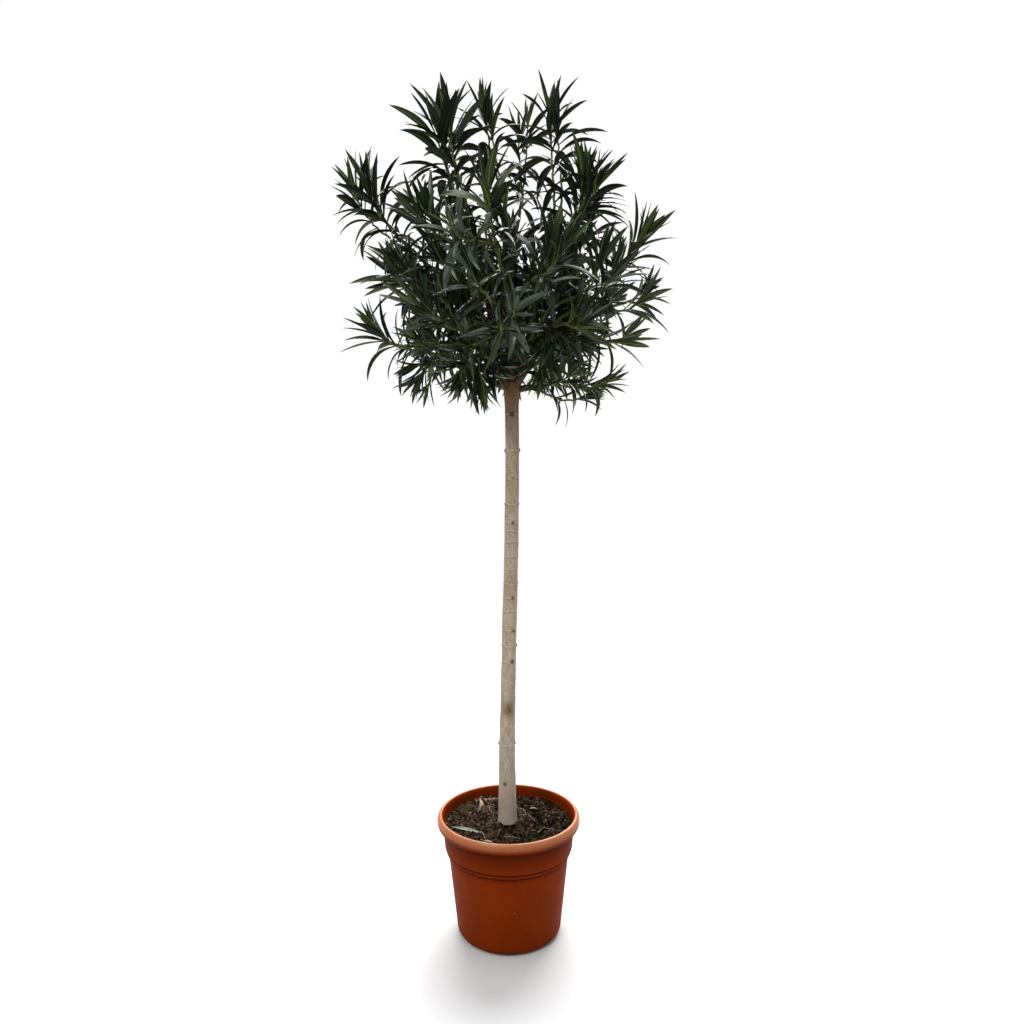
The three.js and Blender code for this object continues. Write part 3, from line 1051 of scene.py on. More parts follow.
    def build_fallen(self) -> None:
        """Lays the fallen leaf and the dry ones on the soil."""
        leaves = Leaves()
        for fallen in self.fallen:
            leaves.add(Leaf(
                base=np.array([*fallen.place, self.height(np.array([fallen.place]))[0] + self.litter_lift]),
                along=np.array(fallen.along),
                upper=np.array(fallen.upper),
                length=fallen.length * MM,
                width=fallen.width * MM,
                recurve=fallen.recurve,
                fold=fallen.fold,
                twist=fallen.twist,
                tone=fallen.tone,
            ))
        settle(object_from("fallen_leaves", [leaves.patch()], made_of(*FALLEN_FINISHES)), "foliage")

    def build_strands(self) -> None:
        """Lays root threads and dead twigs on the soil, arched a little over it."""
        count = 14
        tubes = []
        for strand in self.strands:
            flat = bend(np.array(strand.start), np.array(strand.middle), np.array(strand.end), count)
            arch = 5 * MM * np.sin(np.linspace(0, math.pi, count))
            line = np.column_stack([flat, self.height(flat) + arch])
            tubes.append(tube(line, np.linspace(strand.radius, 0.5 * strand.radius, count) * MM, 8))
        made = object_from("soil_twigs", tubes, made_of(Plain("dead_twig", (0.26, 0.20, 0.145), 0.85)))
        settle(made, "bough_bark")

    def build_clump(self, name: str, clump: Clump, finishes: list[Plain]) -> None:
        """Strews one clump of small lumps.

        Args:
            name: the piece's name.
            clump: where its lumps lie and how large they are.
            finishes: what they are dressed in, by turns.
        """
        least, more = clump.size
        lumps = []
        for index in range(clump.count):
            spread = self.random.standard_normal(2) * np.array(clump.spread) * MM
            place = np.array(clump.place) + spread
            size = (least + more * self.random.random()) * MM
            centre = np.array([*place, self.height(place[None])[0]])
            lumps.append(self.lump(centre, np.full(3, size), index % len(finishes)))
        settle(object_from(name, lumps, made_of(*finishes), smooth=False), "potting_soil")


# ------------------------------------------------------------------------------------------ leaves


@dataclass
class Leaf:
    """One leaf: where it starts, which way it runs, which way its upper side faces, and its shape."""

    base: np.ndarray
    along: np.ndarray
    upper: np.ndarray
    length: float
    width: float
    recurve: float = 0.3
    droop: float = 0.0
    twist: float = 0.0
    fold: float = 0.35
    sway: float = 0.0
    tone: int = 0


class Leaves:
    """Many leaves, shaped together."""

    SEGMENTS = 9
    THICKNESS = 0.45 * MM

    def __init__(self) -> None:
        """Starts with none."""
        self.leaves: list[Leaf] = []

    def add(self, leaf: Leaf) -> None:
        """Keeps one leaf."""
        self.leaves.append(leaf)

    def column(self, name: str) -> np.ndarray:
        """One measure of every leaf, as a column."""
        return np.array([getattr(leaf, name) for leaf in self.leaves], float)

    def patch(self) -> Patch:
        """Blades with an upper side, an under side and a midrib.

        Returns:
            A patch whose finish numbers are three for each tone: upper side, under side and midrib.
        """
        count, steps = len(self.leaves), self.SEGMENTS + 1
        along, upper = unit(self.column("along")), self.column("upper")
        upper = unit(upper - along * np.sum(along * upper, axis=1, keepdims=True))
        length, width = self.column("length"), self.column("width")
        share = np.linspace(0, 1, steps) ** 0.95
        place = self.column("base")
        down = np.array([0.0, 0.0, -1.0])
        rows = []
        for index, part in enumerate(share):
            angle = (self.column("recurve") * part)[:, None]
            ahead = np.cos(angle) * along - np.sin(angle) * upper
            ahead = unit(ahead + (self.column("droop") * part**1.5)[:, None] * down)
            facing = np.cos(angle) * upper + np.sin(angle) * along
            facing = unit(facing - ahead * np.sum(facing * ahead, axis=1, keepdims=True))
            side = np.cross(ahead, facing)
            roll = (self.column("twist") * part)[:, None]
            rolled = np.cos(roll) * side + np.sin(roll) * facing
            facing = np.cos(roll) * facing - np.sin(roll) * side
            side = rolled
            ahead = unit(ahead + side * (self.column("sway") * part)[:, None])
            if index:
                place = place + ahead * (length * (part - share[index - 1]))[:, None]
            rows.append(self.section(place, side, facing, width, part))
        points = np.stack(rows, axis=1)
        size = points.shape[2]
        faces, finish = self.quads(count, steps, size)
        return Patch(points.reshape(-1, 3), faces, finish)

    def section(self, place: np.ndarray, side: np.ndarray, facing: np.ndarray, width: np.ndarray,
                part: float) -> np.ndarray:
        """The ring of points across every leaf at one share of its length.

        Args:
            place: the midrib's place in each leaf.
            side: the way across each.
            facing: the way each faces.
            width: how wide each is.
            part: the share of the length, from 0 to 1.

        Returns:
            An array of leaves by ten points: six over the upper side and four under it.
        """
        swell = math.sin(math.pi * min(part, 0.999) ** 0.95) ** (1.25 - 0.5 * part)
        half = np.maximum(0.5 * width * swell, 0.10 * width * (1 - part) ** 0.3)[:, None]
        half = half if part < 1 else np.full_like(half, 0.15 * MM)
        fold = self.column("fold")[:, None] * (1 - 0.35 * part)
        rib = np.minimum((0.95 - 0.7 * part) * MM, 0.7 * half)
        thick = self.THICKNESS * (1 - 0.6 * part)
        keel = 1.5 * thick * (1 - part) + 0.15 * MM

        def at(across: np.ndarray | float, lift: np.ndarray | float) -> np.ndarray:
            """A point some way across the blade and over it."""
            return place + side * across + facing * lift

        def blade(share: float, sag: float) -> tuple[np.ndarray, np.ndarray]:
            """How far out and up a share of the half blade lies."""
            return half * share * np.cos(fold), half * (share * np.sin(fold) + sag)

        edge, middle = blade(1.0, 0.0), blade(0.55, 0.07)
        over = [at(edge[0], edge[1]), at(middle[0], middle[1]), at(rib, 0.0), at(-rib, 0.0),
                at(-middle[0], middle[1]), at(-edge[0], edge[1])]
        under = [at(-edge[0], edge[1] - 0.4 * thick), at(-rib, -thick - keel), at(rib, -thick - keel),
                 at(edge[0], edge[1] - 0.4 * thick)]
        return np.stack([*over, *under], axis=1)

    def quads(self, count: int, steps: int, size: int) -> tuple[list[np.ndarray], list[np.ndarray]]:
        """The faces of every leaf.

        Args:
            count: how many leaves.
            steps: how many rings of points each has.
            size: how many points a ring has.

        Returns:
            The faces and their finish numbers.
        """
        strip = [0, 1, 2, 3, 4, 6, 7, 8]
        part = [0, 0, 2, 0, 0, 1, 2, 1]
        step, col = np.meshgrid(np.arange(steps - 1), np.arange(len(strip)), indexing="ij")
        left = np.array(strip)[col.ravel()]
        right = left + 1
        low = step.ravel() * size
        one = np.stack([low + left, low + size + left, low + size + right, low + right], axis=1)
        start = (np.arange(count) * steps * size)[:, None, None]
        tone = self.column("tone").astype(int)[:, None] * 3
        kind = np.array(part)[col.ravel()][None, :]
        return [(one[None] + start).reshape(-1, 4)], [(tone + kind).ravel()]


# ------------------------------------------------------------------------------------------ trunk


@dataclass(frozen=True)
class Knob:
    """A bud, knot or blotch on a stem.

    height is in metres and facing in degrees from +X; width and rise are in millimetres, and shade is how
    dark it is, from 0 to 1.
    """

    height: float
    facing: float
    width: float
    rise: float
    shade: float

    def near(self, level: np.ndarray, around: np.ndarray, radius: float) -> np.ndarray:
        """How strongly each point of a stem feels the knob.

        Args:
            level: the points' heights.
            around: their angles about the stem.
            radius: the stem's radius at the knob.

        Returns:
            A number from 0 to 1 for each point.
        """
        aside = radius * np.angle(np.exp(1j * (around - math.radians(self.facing))))
        return np.exp(-((aside**2 + (level - self.height) ** 2) / (self.width * MM) ** 2))


@dataclass(frozen=True)
class Stub:
    """What pruning left of a limb on the head.

    facing and lean are in degrees; length, radius and drop, which is how far it starts under the head's
    top, are in millimetres.
    """

    facing: float
    lean: float
    length: float
    radius: float
    drop: float


@dataclass
class Trunk:
    """The bare stem, with its scar rings, buds, knots, blotch and pruned head."""

    rings: tuple[float, ...] = (
        0.398, 0.575, 0.607, 0.640, 0.680, 0.708, 0.737, 0.768,
        0.794, 0.824, 0.846, 0.863, 0.901, 0.954, 1.010, 1.083,
    )
    knobs: tuple[Knob, ...] = (
        Knob(0.317, -106, 3.6, -1.2, 1.0), Knob(0.399, 180, 3.6, 2.4, 0.7), Knob(0.400, 2, 3.6, 1.8, 0.6),
        Knob(0.576, -64, 4.4, 1.6, 0.8), Knob(0.607, 2, 3.6, 2.8, 0.6), Knob(0.607, 180, 3.0, 1.2, 0.4),
        Knob(0.640, -58, 3.0, 2.0, 1.0), Knob(0.708, -70, 2.4, 1.5, 0.9), Knob(0.738, 2, 2.6, 1.4, 0.5),
        Knob(0.768, 60, 3.0, 1.6, 0.6), Knob(0.794, -20, 2.4, 1.0, 0.4), Knob(0.863, -80, 2.8, 1.6, 0.9),
        Knob(0.901, 180, 2.6, 1.3, 0.5), Knob(0.901, 2, 2.6, 1.3, 0.5), Knob(0.954, -88, 2.4, 1.2, 0.5),
        Knob(1.010, 178, 3.4, 2.6, 0.8), Knob(1.011, -12, 3.6, 2.6, 0.9), Knob(1.083, -91, 4.2, 2.0, 1.0),
        Knob(0.846, 120, 3.0, 1.5, 0.5), Knob(0.680, 150, 3.0, 1.5, 0.6), Knob(0.520, 75, 3.4, 1.6, 0.7),
    )
    blotch: Knob = Knob(0.475, -80, 19.0, 0.0, 0.8)
    stubs: tuple[Stub, ...] = (
        Stub(214, 34, 34, 8.0, 44), Stub(-38, 24, 48, 6.5, 42), Stub(262, 12, 26, 8.0, 34),
        Stub(95, 34, 28, 7.5, 34), Stub(172, 30, 30, 7.0, 38), Stub(10, 32, 30, 6.5, 36),
    )
    stub_ring: float = 11 * MM
    buried: float = 4 * MM
    cover: float = 0.5 * MM
    foot_narrowing: float = 2.4 * MM
    foot_length: float = 22 * MM
    head_rounding: float = 14 * MM
    sides: int = 72
    spacing: float = 1.6 * MM

    def __post_init__(self) -> None:
        """Reads the stem's line and taper from the frame."""
        places = corners("trunk")
        self.low, self.high = places[:, 2].min(), places[:, 2].max()
        levels = np.unique(places[:, 2].round(4))
        slices = [(z, places[np.abs(places[:, 2] - z) < 2e-4]) for z in levels]
        rings = [(z, ring) for z, ring in slices if len(ring) > 6]
        self.levels = np.array([z for z, _ in rings])
        self.line = np.array([(ring[:, :2].max(axis=0) + ring[:, :2].min(axis=0)) / 2 for _, ring in rings])
        self.radii = np.array([np.ptp(ring[:, 0]) / 2 for _, ring in rings])

    def centre(self, height: np.ndarray | float) -> np.ndarray:
        """The middle of the stem at a height."""
        return np.stack([np.interp(height, self.levels, self.line[:, axis]) for axis in (0, 1)], axis=-1)

    def radius(self, height: np.ndarray | float) -> np.ndarray:
        """The radius of the stem at a height."""
        return np.interp(height, self.levels, self.radii)

    def scars(self, level: np.ndarray, around: np.ndarray) -> tuple[np.ndarray, np.ndarray]:
        """The rings that fallen leaves left, and the creases under them.

        Args:
            level: the height of each point of the stem.
            around: its angle about the stem.

        Returns:
            How strongly each point feels a ring and a crease, from 0 to 1.
        """
        scar, crease = np.zeros(len(level)), np.zeros(len(level))
        for index, height in enumerate(self.rings):
            wave = 0.8 * MM * np.sin(3 * around + 1.3 * index) + 0.7 * MM * np.sin(around + index)
            strength = 0.8 + 0.2 * math.sin(5.1 * index)
            line = np.exp(-(((level - height - wave) / (1.1 * MM)) ** 2))
            below = np.exp(-(((level - height - wave + 2.4 * MM) / (1.2 * MM)) ** 2))
            scar, crease = np.maximum(scar, strength * line), np.maximum(crease, strength * below)
        return scar, crease

    def build(self) -> bpy.types.Object:
        """The stem with its bark in relief.

        Returns:
            The finished stem.
        """
        count = int((self.high - self.low) / self.spacing)
        heights = np.linspace(self.low - self.buried, self.high - 2 * MM, count)
        turn = np.linspace(0, 2 * math.pi, self.sides, endpoint=False)
        level, around = (part.ravel() for part in np.meshgrid(heights, turn, indexing="ij"))
        way = np.stack([np.cos(around), np.sin(around)], axis=1)
        rounded = np.sqrt(np.clip((self.high + 1 * MM - level) / self.head_rounding, 0.02, 1))
        foot = np.exp(-(level - self.low) / self.foot_length)
        core = (self.radius(level) + self.cover - self.foot_narrowing * foot) * rounded
        flat = np.column_stack([self.centre(level) + core[:, None] * way, level])
        ripple = 0.45 * MM * grain(flat * (1, 1, 0.35), 0.012, 2.0) + 0.25 * MM * grain(flat, 0.0035, 5.0)
        ripple += 0.8 * MM * grain(np.column_stack([way * 0.02, level * 0.25]), 0.02, 9.0)
        ripple += 2.0 * MM * foot * grain(np.column_stack([way * 0.022, level * 0.4]), 0.011, 7.0)
        scar, crease = self.scars(level, around)
        lift = 0.6 * MM * scar - 0.25 * MM * crease
        drift = 5 * MM * grain(flat, 0.012, 6.0)
        blotch = self.blotch.near(level + drift, around, float(self.radius(self.blotch.height)) * 1.6)
        stain = np.zeros(len(level))
        for knob in self.knobs:
            near = knob.near(level, around, float(self.radius(knob.height)))
            lift = lift + knob.rise * MM * near
            stain = np.maximum(stain, np.clip(1.6 * knob.shade * near, 0, 1))
        head = ease(level, self.high - 0.06, self.high - 0.01)
        lumps = 2.2 * MM * head * grain(flat, 0.016, 4.0)
        out = core + ripple * rounded + lift + lumps
        points = np.column_stack([self.centre(level) + out[:, None] * way, level])
        masks = {"scar": scar, "crease": crease, "stain": stain, "blotch": blotch}
        stem = Patch(points, skin(count, self.sides))
        made = object_from("trunk_bark_relief", [stem], [STEM_BARK.make()], masks=masks)
        return settle(made, "trunk_bark", "trunk")

    def build_stubs(self) -> bpy.types.Object:
        """The stubs that pruning left on the head, with their dried cuts.

        Returns:
            The finished stubs.
        """
        head = np.array([*self.centre(self.high), self.high])
        patches = []
        for stub in self.stubs:
            turn, lean = math.radians(stub.facing), math.radians(stub.lean)
            out = np.array([math.cos(turn), math.sin(turn), 0.0])
            way = math.sin(lean) * out + np.array([0.0, 0.0, math.cos(lean)])
            start = head + self.stub_ring * out - np.array([0.0, 0.0, stub.drop * MM])
            line = start + np.linspace(0, 1, 7)[:, None] * way * stub.length * MM
            wood = tube(line, np.linspace(1.25, 0.8, 7) * stub.radius * MM, 16)
            wood.finish[2][:] = 1
            rough = [grain(wood.points, 0.005, stub.drop + axis) for axis in range(3)]
            wood.points += 1.6 * MM * np.stack(rough, axis=1)
            patches.append(wood)
        made = object_from("pruned_stubs", patches, made_of(*STUB_FINISHES), smooth=False)
        return settle(made, "bough_bark")


# ------------------------------------------------------------------------------------------ crown


@dataclass
class Habit:
    """How the shoots of one mass grow.

    shoots is how many long shoots it has and fillers how many short side shoots. leafy is the length of
    stem that bears leaves, reach how far the top leaves stand past the end of the stem, and rise how hard
    the shoots turn up. spread widens the leaves' angles, droop hangs them, young is the share of young
    leaves in the palest green, and size scales the leaves. stray is how far the tips stand out of the
    mass's axis, as a share of its girth, and extent how far along it they reach.
    """

    shoots: int = 2
    fillers: int = 0
    leafy: float = 0.160
    reach: float = 0.082
    rise: float = 1.1
    spread: float = 1.0
    droop: float = 0.45
    young: float = 0.10
    size: float = 1.0
    stray: float = 0.55
    extent: float = 1.0


DEFAULT = Habit()
SPUR = Habit(leafy=0.09, reach=0.06, rise=0.5, size=0.85)
LOW = Habit(shoots=2, fillers=1, rise=0.6, leafy=0.15)
SKIRT = Habit(shoots=2, fillers=2, leafy=0.12, rise=0.2, droop=0.25, reach=0.075, size=0.85, stray=0.5)
LOWEST = Habit(shoots=2, rise=0.25, leafy=0.05, droop=0.0, reach=0.05, size=0.75, stray=0.5)
HABITS = {
    "foliage_top_left": Habit(shoots=4, leafy=0.21, size=1.08, stray=0.5),
    "foliage_far_left_upper": Habit(shoots=3, leafy=0.17),
    "foliage_right_upper": Habit(shoots=4, leafy=0.20, stray=0.42),
    "foliage_front_centre": Habit(shoots=2, fillers=1, leafy=0.26),
    "foliage_top_centre_left": Habit(shoots=2, leafy=0.18, size=0.85),
    "foliage_top_centre_back": Habit(shoots=2, leafy=0.18, size=0.8),
    "foliage_top_right": Habit(shoots=2, leafy=0.22, size=0.95, stray=0.35),
    "foliage_front_low": replace(LOW, rise=2.8),
    "foliage_front_low_right": replace(LOW, rise=2.8),
    "foliage_lower_right": replace(LOW, size=0.8, extent=0.82),
    "foliage_right_low": Habit(size=0.9, extent=0.88, stray=0.4),
    "foliage_far_right": Habit(extent=0.98, stray=0.45),
    "foliage_left_spray": Habit(extent=0.95, stray=0.45),
    "foliage_far_left_back": Habit(extent=0.93, stray=0.45),
    "foliage_back_right_side": Habit(size=0.9, extent=0.92),
    "foliage_lower_left": replace(LOW, rise=1.0, fillers=0, size=1.1, stray=0.3),
    "foliage_back_low_left": replace(LOW, size=0.85, extent=0.9),
    "foliage_back_low_right": replace(LOW, size=0.85, extent=0.9),
    "foliage_skirt_left": SKIRT,
    "foliage_skirt_front_left": SKIRT,
    "foliage_skirt_trunk_left": replace(SKIRT, droop=0.5, size=1.0),
    "foliage_skirt_trunk_right": SKIRT,
    "foliage_bottom_right": LOWEST,
    "foliage_back_skirt": SKIRT,
    "foliage_back_skirt_right": SKIRT,
}


@dataclass
class Bough:
    """One bough, and the shoots that grow through the masses at its end.

    gaps are the millimetres between whorls of leaves, and angles, lengths and curls the leaves' degrees from
    the stem, millimetres and bends, all counted down from the tip. low_leaves gives heights, and the
    leaves' size at each. inner is how many short shoots grow from the bough itself. limb_radius and
    limb_taper are in millimetres.
    """

    node: str
    masses: list[str]
    number: int
    gaps: tuple[float, ...] = (5, 9, 13, 16, 18, 20, 22)
    angles: tuple[float, ...] = (3, 9, 16, 24, 32, 39, 46, 51, 56, 60)
    lengths: tuple[float, ...] = (34, 70, 94, 106, 110, 108, 102, 96, 90, 84)
    curls: tuple[float, ...] = (-0.1, 0.0, 0.15, 0.4, 0.7, 1.0, 1.25, 1.4, 1.5, 1.5)
    low_leaves: tuple[tuple[float, float], tuple[float, float]] = ((1.08, 1.36), (0.64, 1.0))
    inner: int = 5
    limb_points: int = 90
    limb_sides: int = 20
    limb_radius: float = 7.4
    limb_taper: float = 2.9
    scar_gap: float = 21 * MM
    odds: tuple[float, ...] = (0.36, 0.25, 0.20, 0.09, 0.05, 0.05)
    mixed_above: float = 0.82
    sheen_above: float = 0.70

    def __post_init__(self) -> None:
        """Finds the bough's line in its node's mesh."""
        self.random = np.random.default_rng(1000 + self.number)
        places = corners(self.node)
        head = np.array([*HEAD[:2], HEAD[2] - 0.04])
        away = np.linalg.norm(places - head, axis=1)
        self.root = places[away < away.min() + 9 * MM].mean(axis=0)
        self.end = places[away > away.max() - 5 * MM].mean(axis=0)
        share = (places - self.root) @ (self.end - self.root) / np.sum((self.end - self.root) ** 2)
        inside = places[(share > 0.15) & (share < 0.9)]
        middle = inside.mean(axis=0) if len(inside) else (self.root + self.end) / 2
        self.control = 2 * middle - (self.root + self.end) / 2
        self.heading = unit(self.end - self.control)
        self.twigs: list[Patch] = []
        self.leaves = Leaves()

    def build(self) -> None:
        """Makes the bough's bark, its twigs and its leaves."""
        name = self.node.removeprefix("bough_")
        self.build_limb(name)
        for mass in self.masses:
            self.grow(mass)
        self.fill_in()
        settle(object_from(f"twigs_{name}", self.twigs, made_of(*TWIG_FINISHES)), "bough_bark")
        leaves = object_from(f"leaves_{name}", [self.leaves.patch()], made_of(*LEAF_FINISHES))
        settle(leaves, "foliage", *self.masses)
        LOG.info("%s: %d leaves", name, len(self.leaves.leaves))

    def build_limb(self, name: str) -> None:
        """The bough's own limb, with scar rings and rough bark.

        Args:
            name: the bough's plain name.
        """
        start = self.root - 5 * MM * unit(self.end - self.root)
        line = bend(start, self.control, self.end, self.limb_points)
        share = np.linspace(0, 1, len(line))
        limb = tube(line, (self.limb_radius - self.limb_taper * share) * MM, self.limb_sides)
        out = unit(limb.points - np.repeat(line, self.limb_sides, axis=0))
        run = np.repeat(share * np.linalg.norm(self.end - self.root), self.limb_sides)
        gap = self.scar_gap
        scar = np.exp(-((((run + 4 * MM) % gap) - gap / 2) / (1.3 * MM)) ** 2)
        lift = 0.6 * MM * scar + 0.5 * MM * grain(limb.points, 0.007, self.number)
        limb.points = limb.points + out * lift[:, None]
        masks = {"scar": scar, "crease": 0 * scar, "stain": 0 * scar, "blotch": 0 * scar}
        made = object_from(f"limb_{name}", [limb], [SHADED_LIMB_BARK.make()], masks=masks)
        settle(made, "bough_bark", self.node)

    def grow(self, mass: str) -> None:
        """Grows the shoots of one mass from the bough's end out to the mass's furthest points.

        Args:
            mass: the mass's node.
        """
        habit = HABITS.get(mass, DEFAULT)
        places = corners(mass)
        away = places - self.end
        far = away[np.linalg.norm(away, axis=1) > 0.8 * np.linalg.norm(away, axis=1).max()]
        chord = unit(far.mean(axis=0))
        depth = away @ chord
        forward = depth[:, None] * chord
        drawn_in = self.end + forward * habit.extent + habit.stray * (away - forward)
        tips = self.apart(drawn_in[depth > 0.8 * depth.max()], habit.shoots)
        start = self.end - 3 * MM * self.heading
        leader = self.shoot(start, self.heading, tips[0], habit, 3.6 * MM)
        for tip in tips[1:]:
            fork = leader[int(len(leader) * (0.15 + 0.4 * self.random.random()))]
            heading = unit(unit(tip - fork) + 0.6 * chord + 0.25 * self.random.standard_normal(3))
            self.shoot(fork, heading, tip, habit, 3.0 * MM)
        girth = np.linalg.norm(away - forward, axis=1).max()
        for _ in range(habit.fillers):
            fork = leader[int(len(leader) * (0.2 + 0.5 * self.random.random()))]
            aside = self.random.standard_normal(3)
            aside = unit(aside - chord * (aside @ chord))
            heading = unit(0.7 * chord + aside)
            tip = fork + heading * girth * (1.7 + 0.8 * self.random.random()) + np.array([0, 0, 0.5 * girth])
            self.shoot(fork, heading, tip, habit, 2.6 * MM)

    def fill_in(self) -> None:
        """Grows short leafy shoots from the bough itself, which close the middle of the crown."""
        for index in range(self.inner):
            share = 0.12 + 0.75 * (index + self.random.random()) / self.inner
            rest = 1 - share
            start = rest**2 * self.root + 2 * share * rest * self.control + share**2 * self.end
            aside = self.random.standard_normal(3)
            heading = unit(0.8 * self.heading + 0.9 * unit(aside - self.heading * (aside @ self.heading)))
            heading = unit(heading + np.array([0, 0, 0.45]))
            tip = start + heading * (0.13 + 0.07 * self.random.random()) + np.array([0, 0, 0.03])
            self.shoot(start, heading, tip, SPUR, 2.6 * MM)

    def apart(self, places: np.ndarray, count: int) -> list[np.ndarray]:
        """Chooses points that lie far from each other.

        Args:
            places: the points to choose from.
            count: how many to choose.

        Returns:
            The chosen points, the furthest from the bough first.
        """
        chosen = [places[np.argmax(np.linalg.norm(places - self.end, axis=1))]]
        while len(chosen) < min(count, len(places)):
            nearest = np.min([np.linalg.norm(places - known, axis=1) for known in chosen], axis=0)
            chosen.append(places[np.argmax(nearest)])
        return chosen

    def shoot(self, start: np.ndarray, heading: np.ndarray, tip: np.ndarray, habit: Habit,
              radius: float) -> np.ndarray:
        """One shoot with its leaves.

        Args:
            start: where it leaves its parent.
            heading: the way it sets off.
            tip: the point that its top leaves reach.
            habit: how it grows.
            radius: its radius at the start.

        Returns:
            The points of its centre line.
        """
        gap = float(np.linalg.norm(tip - start))
        lean = unit(tip - start) + np.array([0, 0, habit.rise]) + 0.12 * self.random.standard_normal(3)
        final = unit(lean)
        end = tip - min(habit.reach * habit.size, 0.4 * gap) * final
        length = float(np.linalg.norm(end - start))
        count = max(8, int(length / (8 * MM)))
        line = curve(start, start + heading * 0.35 * length, end - final * 0.42 * length, end, count)
        wobble = 1.0 * MM * self.random.standard_normal((count, 3))
        wobble[[0, -1]] = 0
        line = line + wobble
        taper = np.linspace(radius, 1.7 * MM, count)
        cut = max(2, min(count - 3, int(count * (1 - 0.20 / max(length, 0.2)))))
        self.twigs.append(tube(line[: cut + 1], taper[: cut + 1], 7, 1))
        self.twigs.append(tube(line[cut:], taper[cut:], 7, 0))
        self.leaf_out(line, habit, min(habit.leafy, 0.9 * length))
        return line

    def leaf_out(self, line: np.ndarray, habit: Habit, leafy: float) -> None:
        """Sets whorls of three leaves down a shoot from its tip.

        Args:
            line: the shoot's centre line.
            habit: how the shoot grows.
            leafy: how far down it bears leaves.
        """
        steps = np.linalg.norm(np.diff(line, axis=0), axis=1)
        from_tip = np.concatenate([np.cumsum(steps[::-1])[::-1], [0.0]])
        tangents = unit(np.gradient(line, axis=0))
        tone = int(self.random.choice(len(GREENS), p=self.odds))
        turn = self.random.random() * 2 * math.pi
        run, node = 1 * MM, 0
        while run < leafy:
            place = np.array([np.interp(run, from_tip[::-1], line[::-1, axis]) for axis in range(3)])
            stem = tangents[len(line) - 1 - min(len(line) - 1, int(np.searchsorted(from_tip[::-1], run)))]
            self.whorl(place, stem, node, turn, habit, tone)
            turn += math.pi / 3 + 0.2 * self.random.standard_normal()
            run += self.gaps[min(node, len(self.gaps) - 1)] * MM * (0.85 + 0.3 * self.random.random())
            node += 1

    def whorl(self, place: np.ndarray, stem: np.ndarray, node: int, turn: float, habit: Habit,
              tone: int) -> None:
        """Sets up to three leaves round a stem.

        Args:
            place: where on the stem.
            stem: the way the stem runs there.
            node: which whorl it is, counted down from the tip.
            turn: the angle of its first leaf.
            habit: how the shoot grows.
            tone: the number of the shoot's green.
        """
        across = unit(np.cross(stem, (0.12, 0.05, 1.0) if abs(stem[2]) < 0.95 else (1.0, 0.0, 0.1)))
        other = np.cross(stem, across)
        rank = min(node, len(self.angles) - 1)
        age = min(1.0, node / 7)
        for leaf in range(3):
            if node > 2 and self.random.random() < 0.10 + 0.045 * node:
                continue
            around = turn + leaf * 2 * math.pi / 3 + 0.15 * self.random.standard_normal()
            out = math.cos(around) * across + math.sin(around) * other
            spread = self.angles[rank] * habit.spread * (1 + 0.18 * self.random.standard_normal()) + 3
            angle = math.radians(spread)
            along = math.cos(angle) * stem + math.sin(angle) * out
            vigour = float(np.interp(place[2], self.low_leaves[0], self.low_leaves[1]))
            length = self.lengths[rank] * MM * habit.size * vigour * (0.86 + 0.24 * self.random.random())
            length = self.room(place, along, length)
            self.leaves.add(Leaf(
                tone=self.shade(node, habit, tone),
                base=place + out * 1.6 * MM,
                along=along,
                upper=math.sin(angle) * stem - math.cos(angle) * out,
                length=length,
                width=length * (0.114 + 0.032 * age + 0.030 * self.random.random()) + 0.6 * MM,
                recurve=self.curls[rank] * (0.65 + 0.6 * self.random.random()),
                droop=(habit.droop + 0.3 * (1 - vigour)) * age * (0.3 + 0.9 * self.random.random()),
                twist=0.55 * self.random.standard_normal() * (0.35 + 0.65 * age),
                fold=0.22 + 0.22 * self.random.random() + 0.2 * (1 - age),
                sway=0.3 * self.random.standard_normal(),
            ))

    def shade(self, node: int, habit: Habit, tone: int) -> int:
        """Chooses a leaf's green.

        Args:
            node: which whorl it is in, counted down from the tip.
            habit: how its shoot grows.
            tone: the number of its shoot's green.

        Returns:
            The number of its own green.
        """
        chance = self.random.random()
        if node < 4 and chance < habit.young * 3:
            return GREENS.index(Green.YOUNG)
        if chance > self.mixed_above:
            return int(self.random.integers(len(GREENS) - 1))
        # Older leaves may take the paler grey green, a painted sheen.
        if node > 3 and chance > self.sheen_above:
            return GREENS.index(Green.GREY)
        return tone

    def room(self, place: np.ndarray, along: np.ndarray, length: float) -> float:
        """Shortens a leaf that would stand out of the CAD box.

        Args:
            place: where it starts.
            along: the way it runs.
            length: how long it would be.

        Returns:
            How long it may be.
        """
        low, high = (np.array(corner) for corner in CAD_BOX)
        limit = np.where(along > 0, high + SPARE - place, low - SPARE - place)
        slanted = np.abs(along) > 0.05
        allowed = np.min(np.where(slanted, limit / np.where(slanted, along, 1), 9.0))
        return float(np.clip(min(length, allowed), 0.3 * length, length))


class Crown:
    """All the boughs, each with the masses that start at its end."""

    def __init__(self) -> None:
        """Deals every mass to the bough whose end it starts nearest."""
        names = sorted(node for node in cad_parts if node.startswith("bough_"))
        self.boughs = [Bough(name, [], number) for number, name in enumerate(names)]
        for mass in sorted(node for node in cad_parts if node.startswith("foliage_")):
            places = corners(mass)
            gaps = [np.linalg.norm(places - bough.end, axis=1).min() for bough in self.boughs]
            self.boughs[int(np.argmin(gaps))].masses.append(mass)

    def build(self) -> None:
        """Grows every bough."""
        for bough in self.boughs:
            bough.build()
        LOG.info("%d leaves in all", sum(len(bough.leaves.leaves) for bough in self.boughs))


# ------------------------------------------------------------------------------------------ studio


@dataclass(frozen=True)
class Lamp:
    """A round soft light: its place and size in metres, and its power in watts."""

    name: str
    place: Triple
    size: float
    power: float


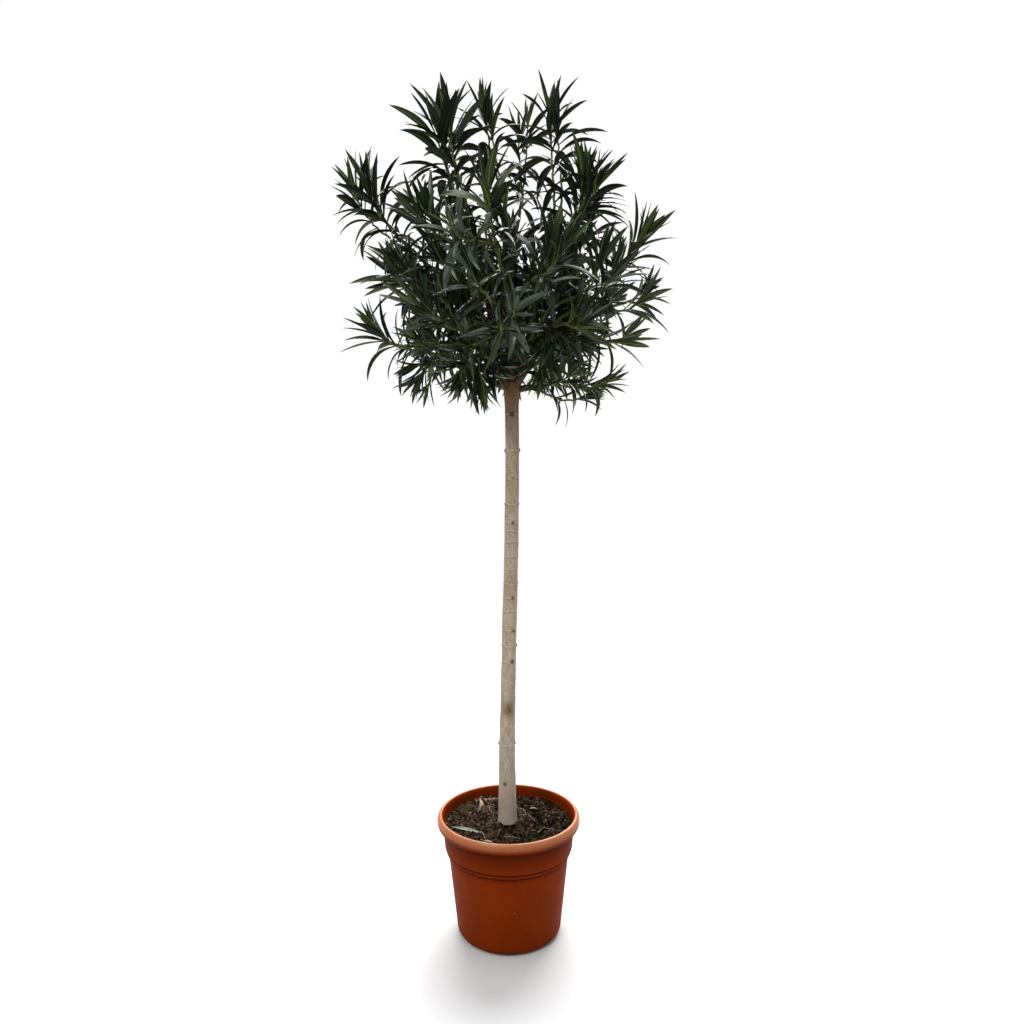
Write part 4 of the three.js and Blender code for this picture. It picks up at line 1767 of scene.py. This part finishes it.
@dataclass
class Studio:
    """A pale floor, soft light and a camera in front of the plant."""

    distance: float = 1.650
    height: float = 1.000
    pitch: float = 4.0
    roll: float = 0.4
    focal: float = 28.3
    shift: float = 0.0059
    overhead: float = 0.75
    underfoot: float = 0.02
    backdrop: float = 1.0
    floor_half: float = 2.7
    paper: Plain = Plain("paper", (0.72, 0.72, 0.72), 0.9, 0.1)
    aim: Triple = (0.0, 0.0, 0.9)
    lamps: tuple[Lamp, ...] = (
        Lamp("overhead", (-0.3, -0.5, 4.4), 3.0, 42),
        Lamp("key", (-1.8, -2.6, 3.0), 1.6, 38),
        Lamp("rim", (0.4, 2.6, 3.4), 4.0, 330),
    )

    def build(self) -> None:
        """Sets the floor, the sky, the lights and the camera."""
        bpy.context.scene.view_settings.view_transform = "Standard"
        self.build_sky()
        floor = np.array([(-1, -1, 0), (1, -1, 0), (1, 1, 0), (-1, 1, 0)], float) * self.floor_half
        square = Patch(floor, [np.array([(0, 1, 2, 3)])])
        object_from("floor", [square], made_of(self.paper))
        for lamp in self.lamps:
            self.hang(lamp)
        camera = bpy.data.cameras.new("camera")
        camera.lens = self.focal
        camera.sensor_width = 36
        camera.shift_x = self.shift
        stand = bpy.data.objects.new("camera", camera)
        stand.location = (0, -self.distance, self.height)
        stand.rotation_mode = "XYZ"
        stand.rotation_euler = (math.radians(90 - self.pitch), math.radians(self.roll), 0)
        bpy.context.scene.collection.objects.link(stand)
        bpy.context.scene.camera = stand

    def build_sky(self) -> None:
        """A soft sky that is brightest overhead, before a plain pale backdrop."""
        world = bpy.data.worlds.new("sky")
        world.use_nodes = True
        bpy.context.scene.world = world
        graph = Graph(world.node_tree)
        way = graph.node("ShaderNodeTexCoord", output="Generated")
        rise = graph.node("ShaderNodeSeparateXYZ", inputs={0: way}, output="Z")
        seen = graph.node("ShaderNodeLightPath", output="Is Camera Ray")
        glow = self.underfoot + (self.overhead - self.underfoot) * rise.between(-0.4, 1.0)
        background = graph.nodes["Background"]
        background.inputs["Color"].default_value = (1, 1, 1, 1)
        graph.feed(background.inputs["Strength"], glow + seen * (self.backdrop - glow))

    def hang(self, lamp: Lamp) -> None:
        """Hangs a lamp so that it faces the plant.

        Args:
            lamp: the lamp.
        """
        light = bpy.data.lights.new(lamp.name, "AREA")
        light.shape = "DISK"
        light.size = lamp.size
        light.energy = lamp.power
        stand = bpy.data.objects.new(lamp.name, light)
        stand.location = lamp.place
        stand.visible_camera = False
        stand.rotation_euler = (Vector(self.aim) - Vector(lamp.place)).to_track_quat("-Z", "Y").to_euler()
        bpy.context.scene.collection.objects.link(stand)


# ------------------------------------------------------------------------------------------ main


TRUNK = Trunk()
HEAD = np.array([*TRUNK.centre(TRUNK.high), TRUNK.high])


def main() -> None:
    """Builds every piece."""
    logging.basicConfig(level=logging.INFO, format="%(message)s")
    Studio().build()
    pot = Pot()
    pot.build()
    Soil(pot, TRUNK.centre(TRUNK.low), float(TRUNK.radius(TRUNK.low))).build()
    TRUNK.build()
    TRUNK.build_stubs()
    Crown().build()


if __name__ == "__main__":
    main()
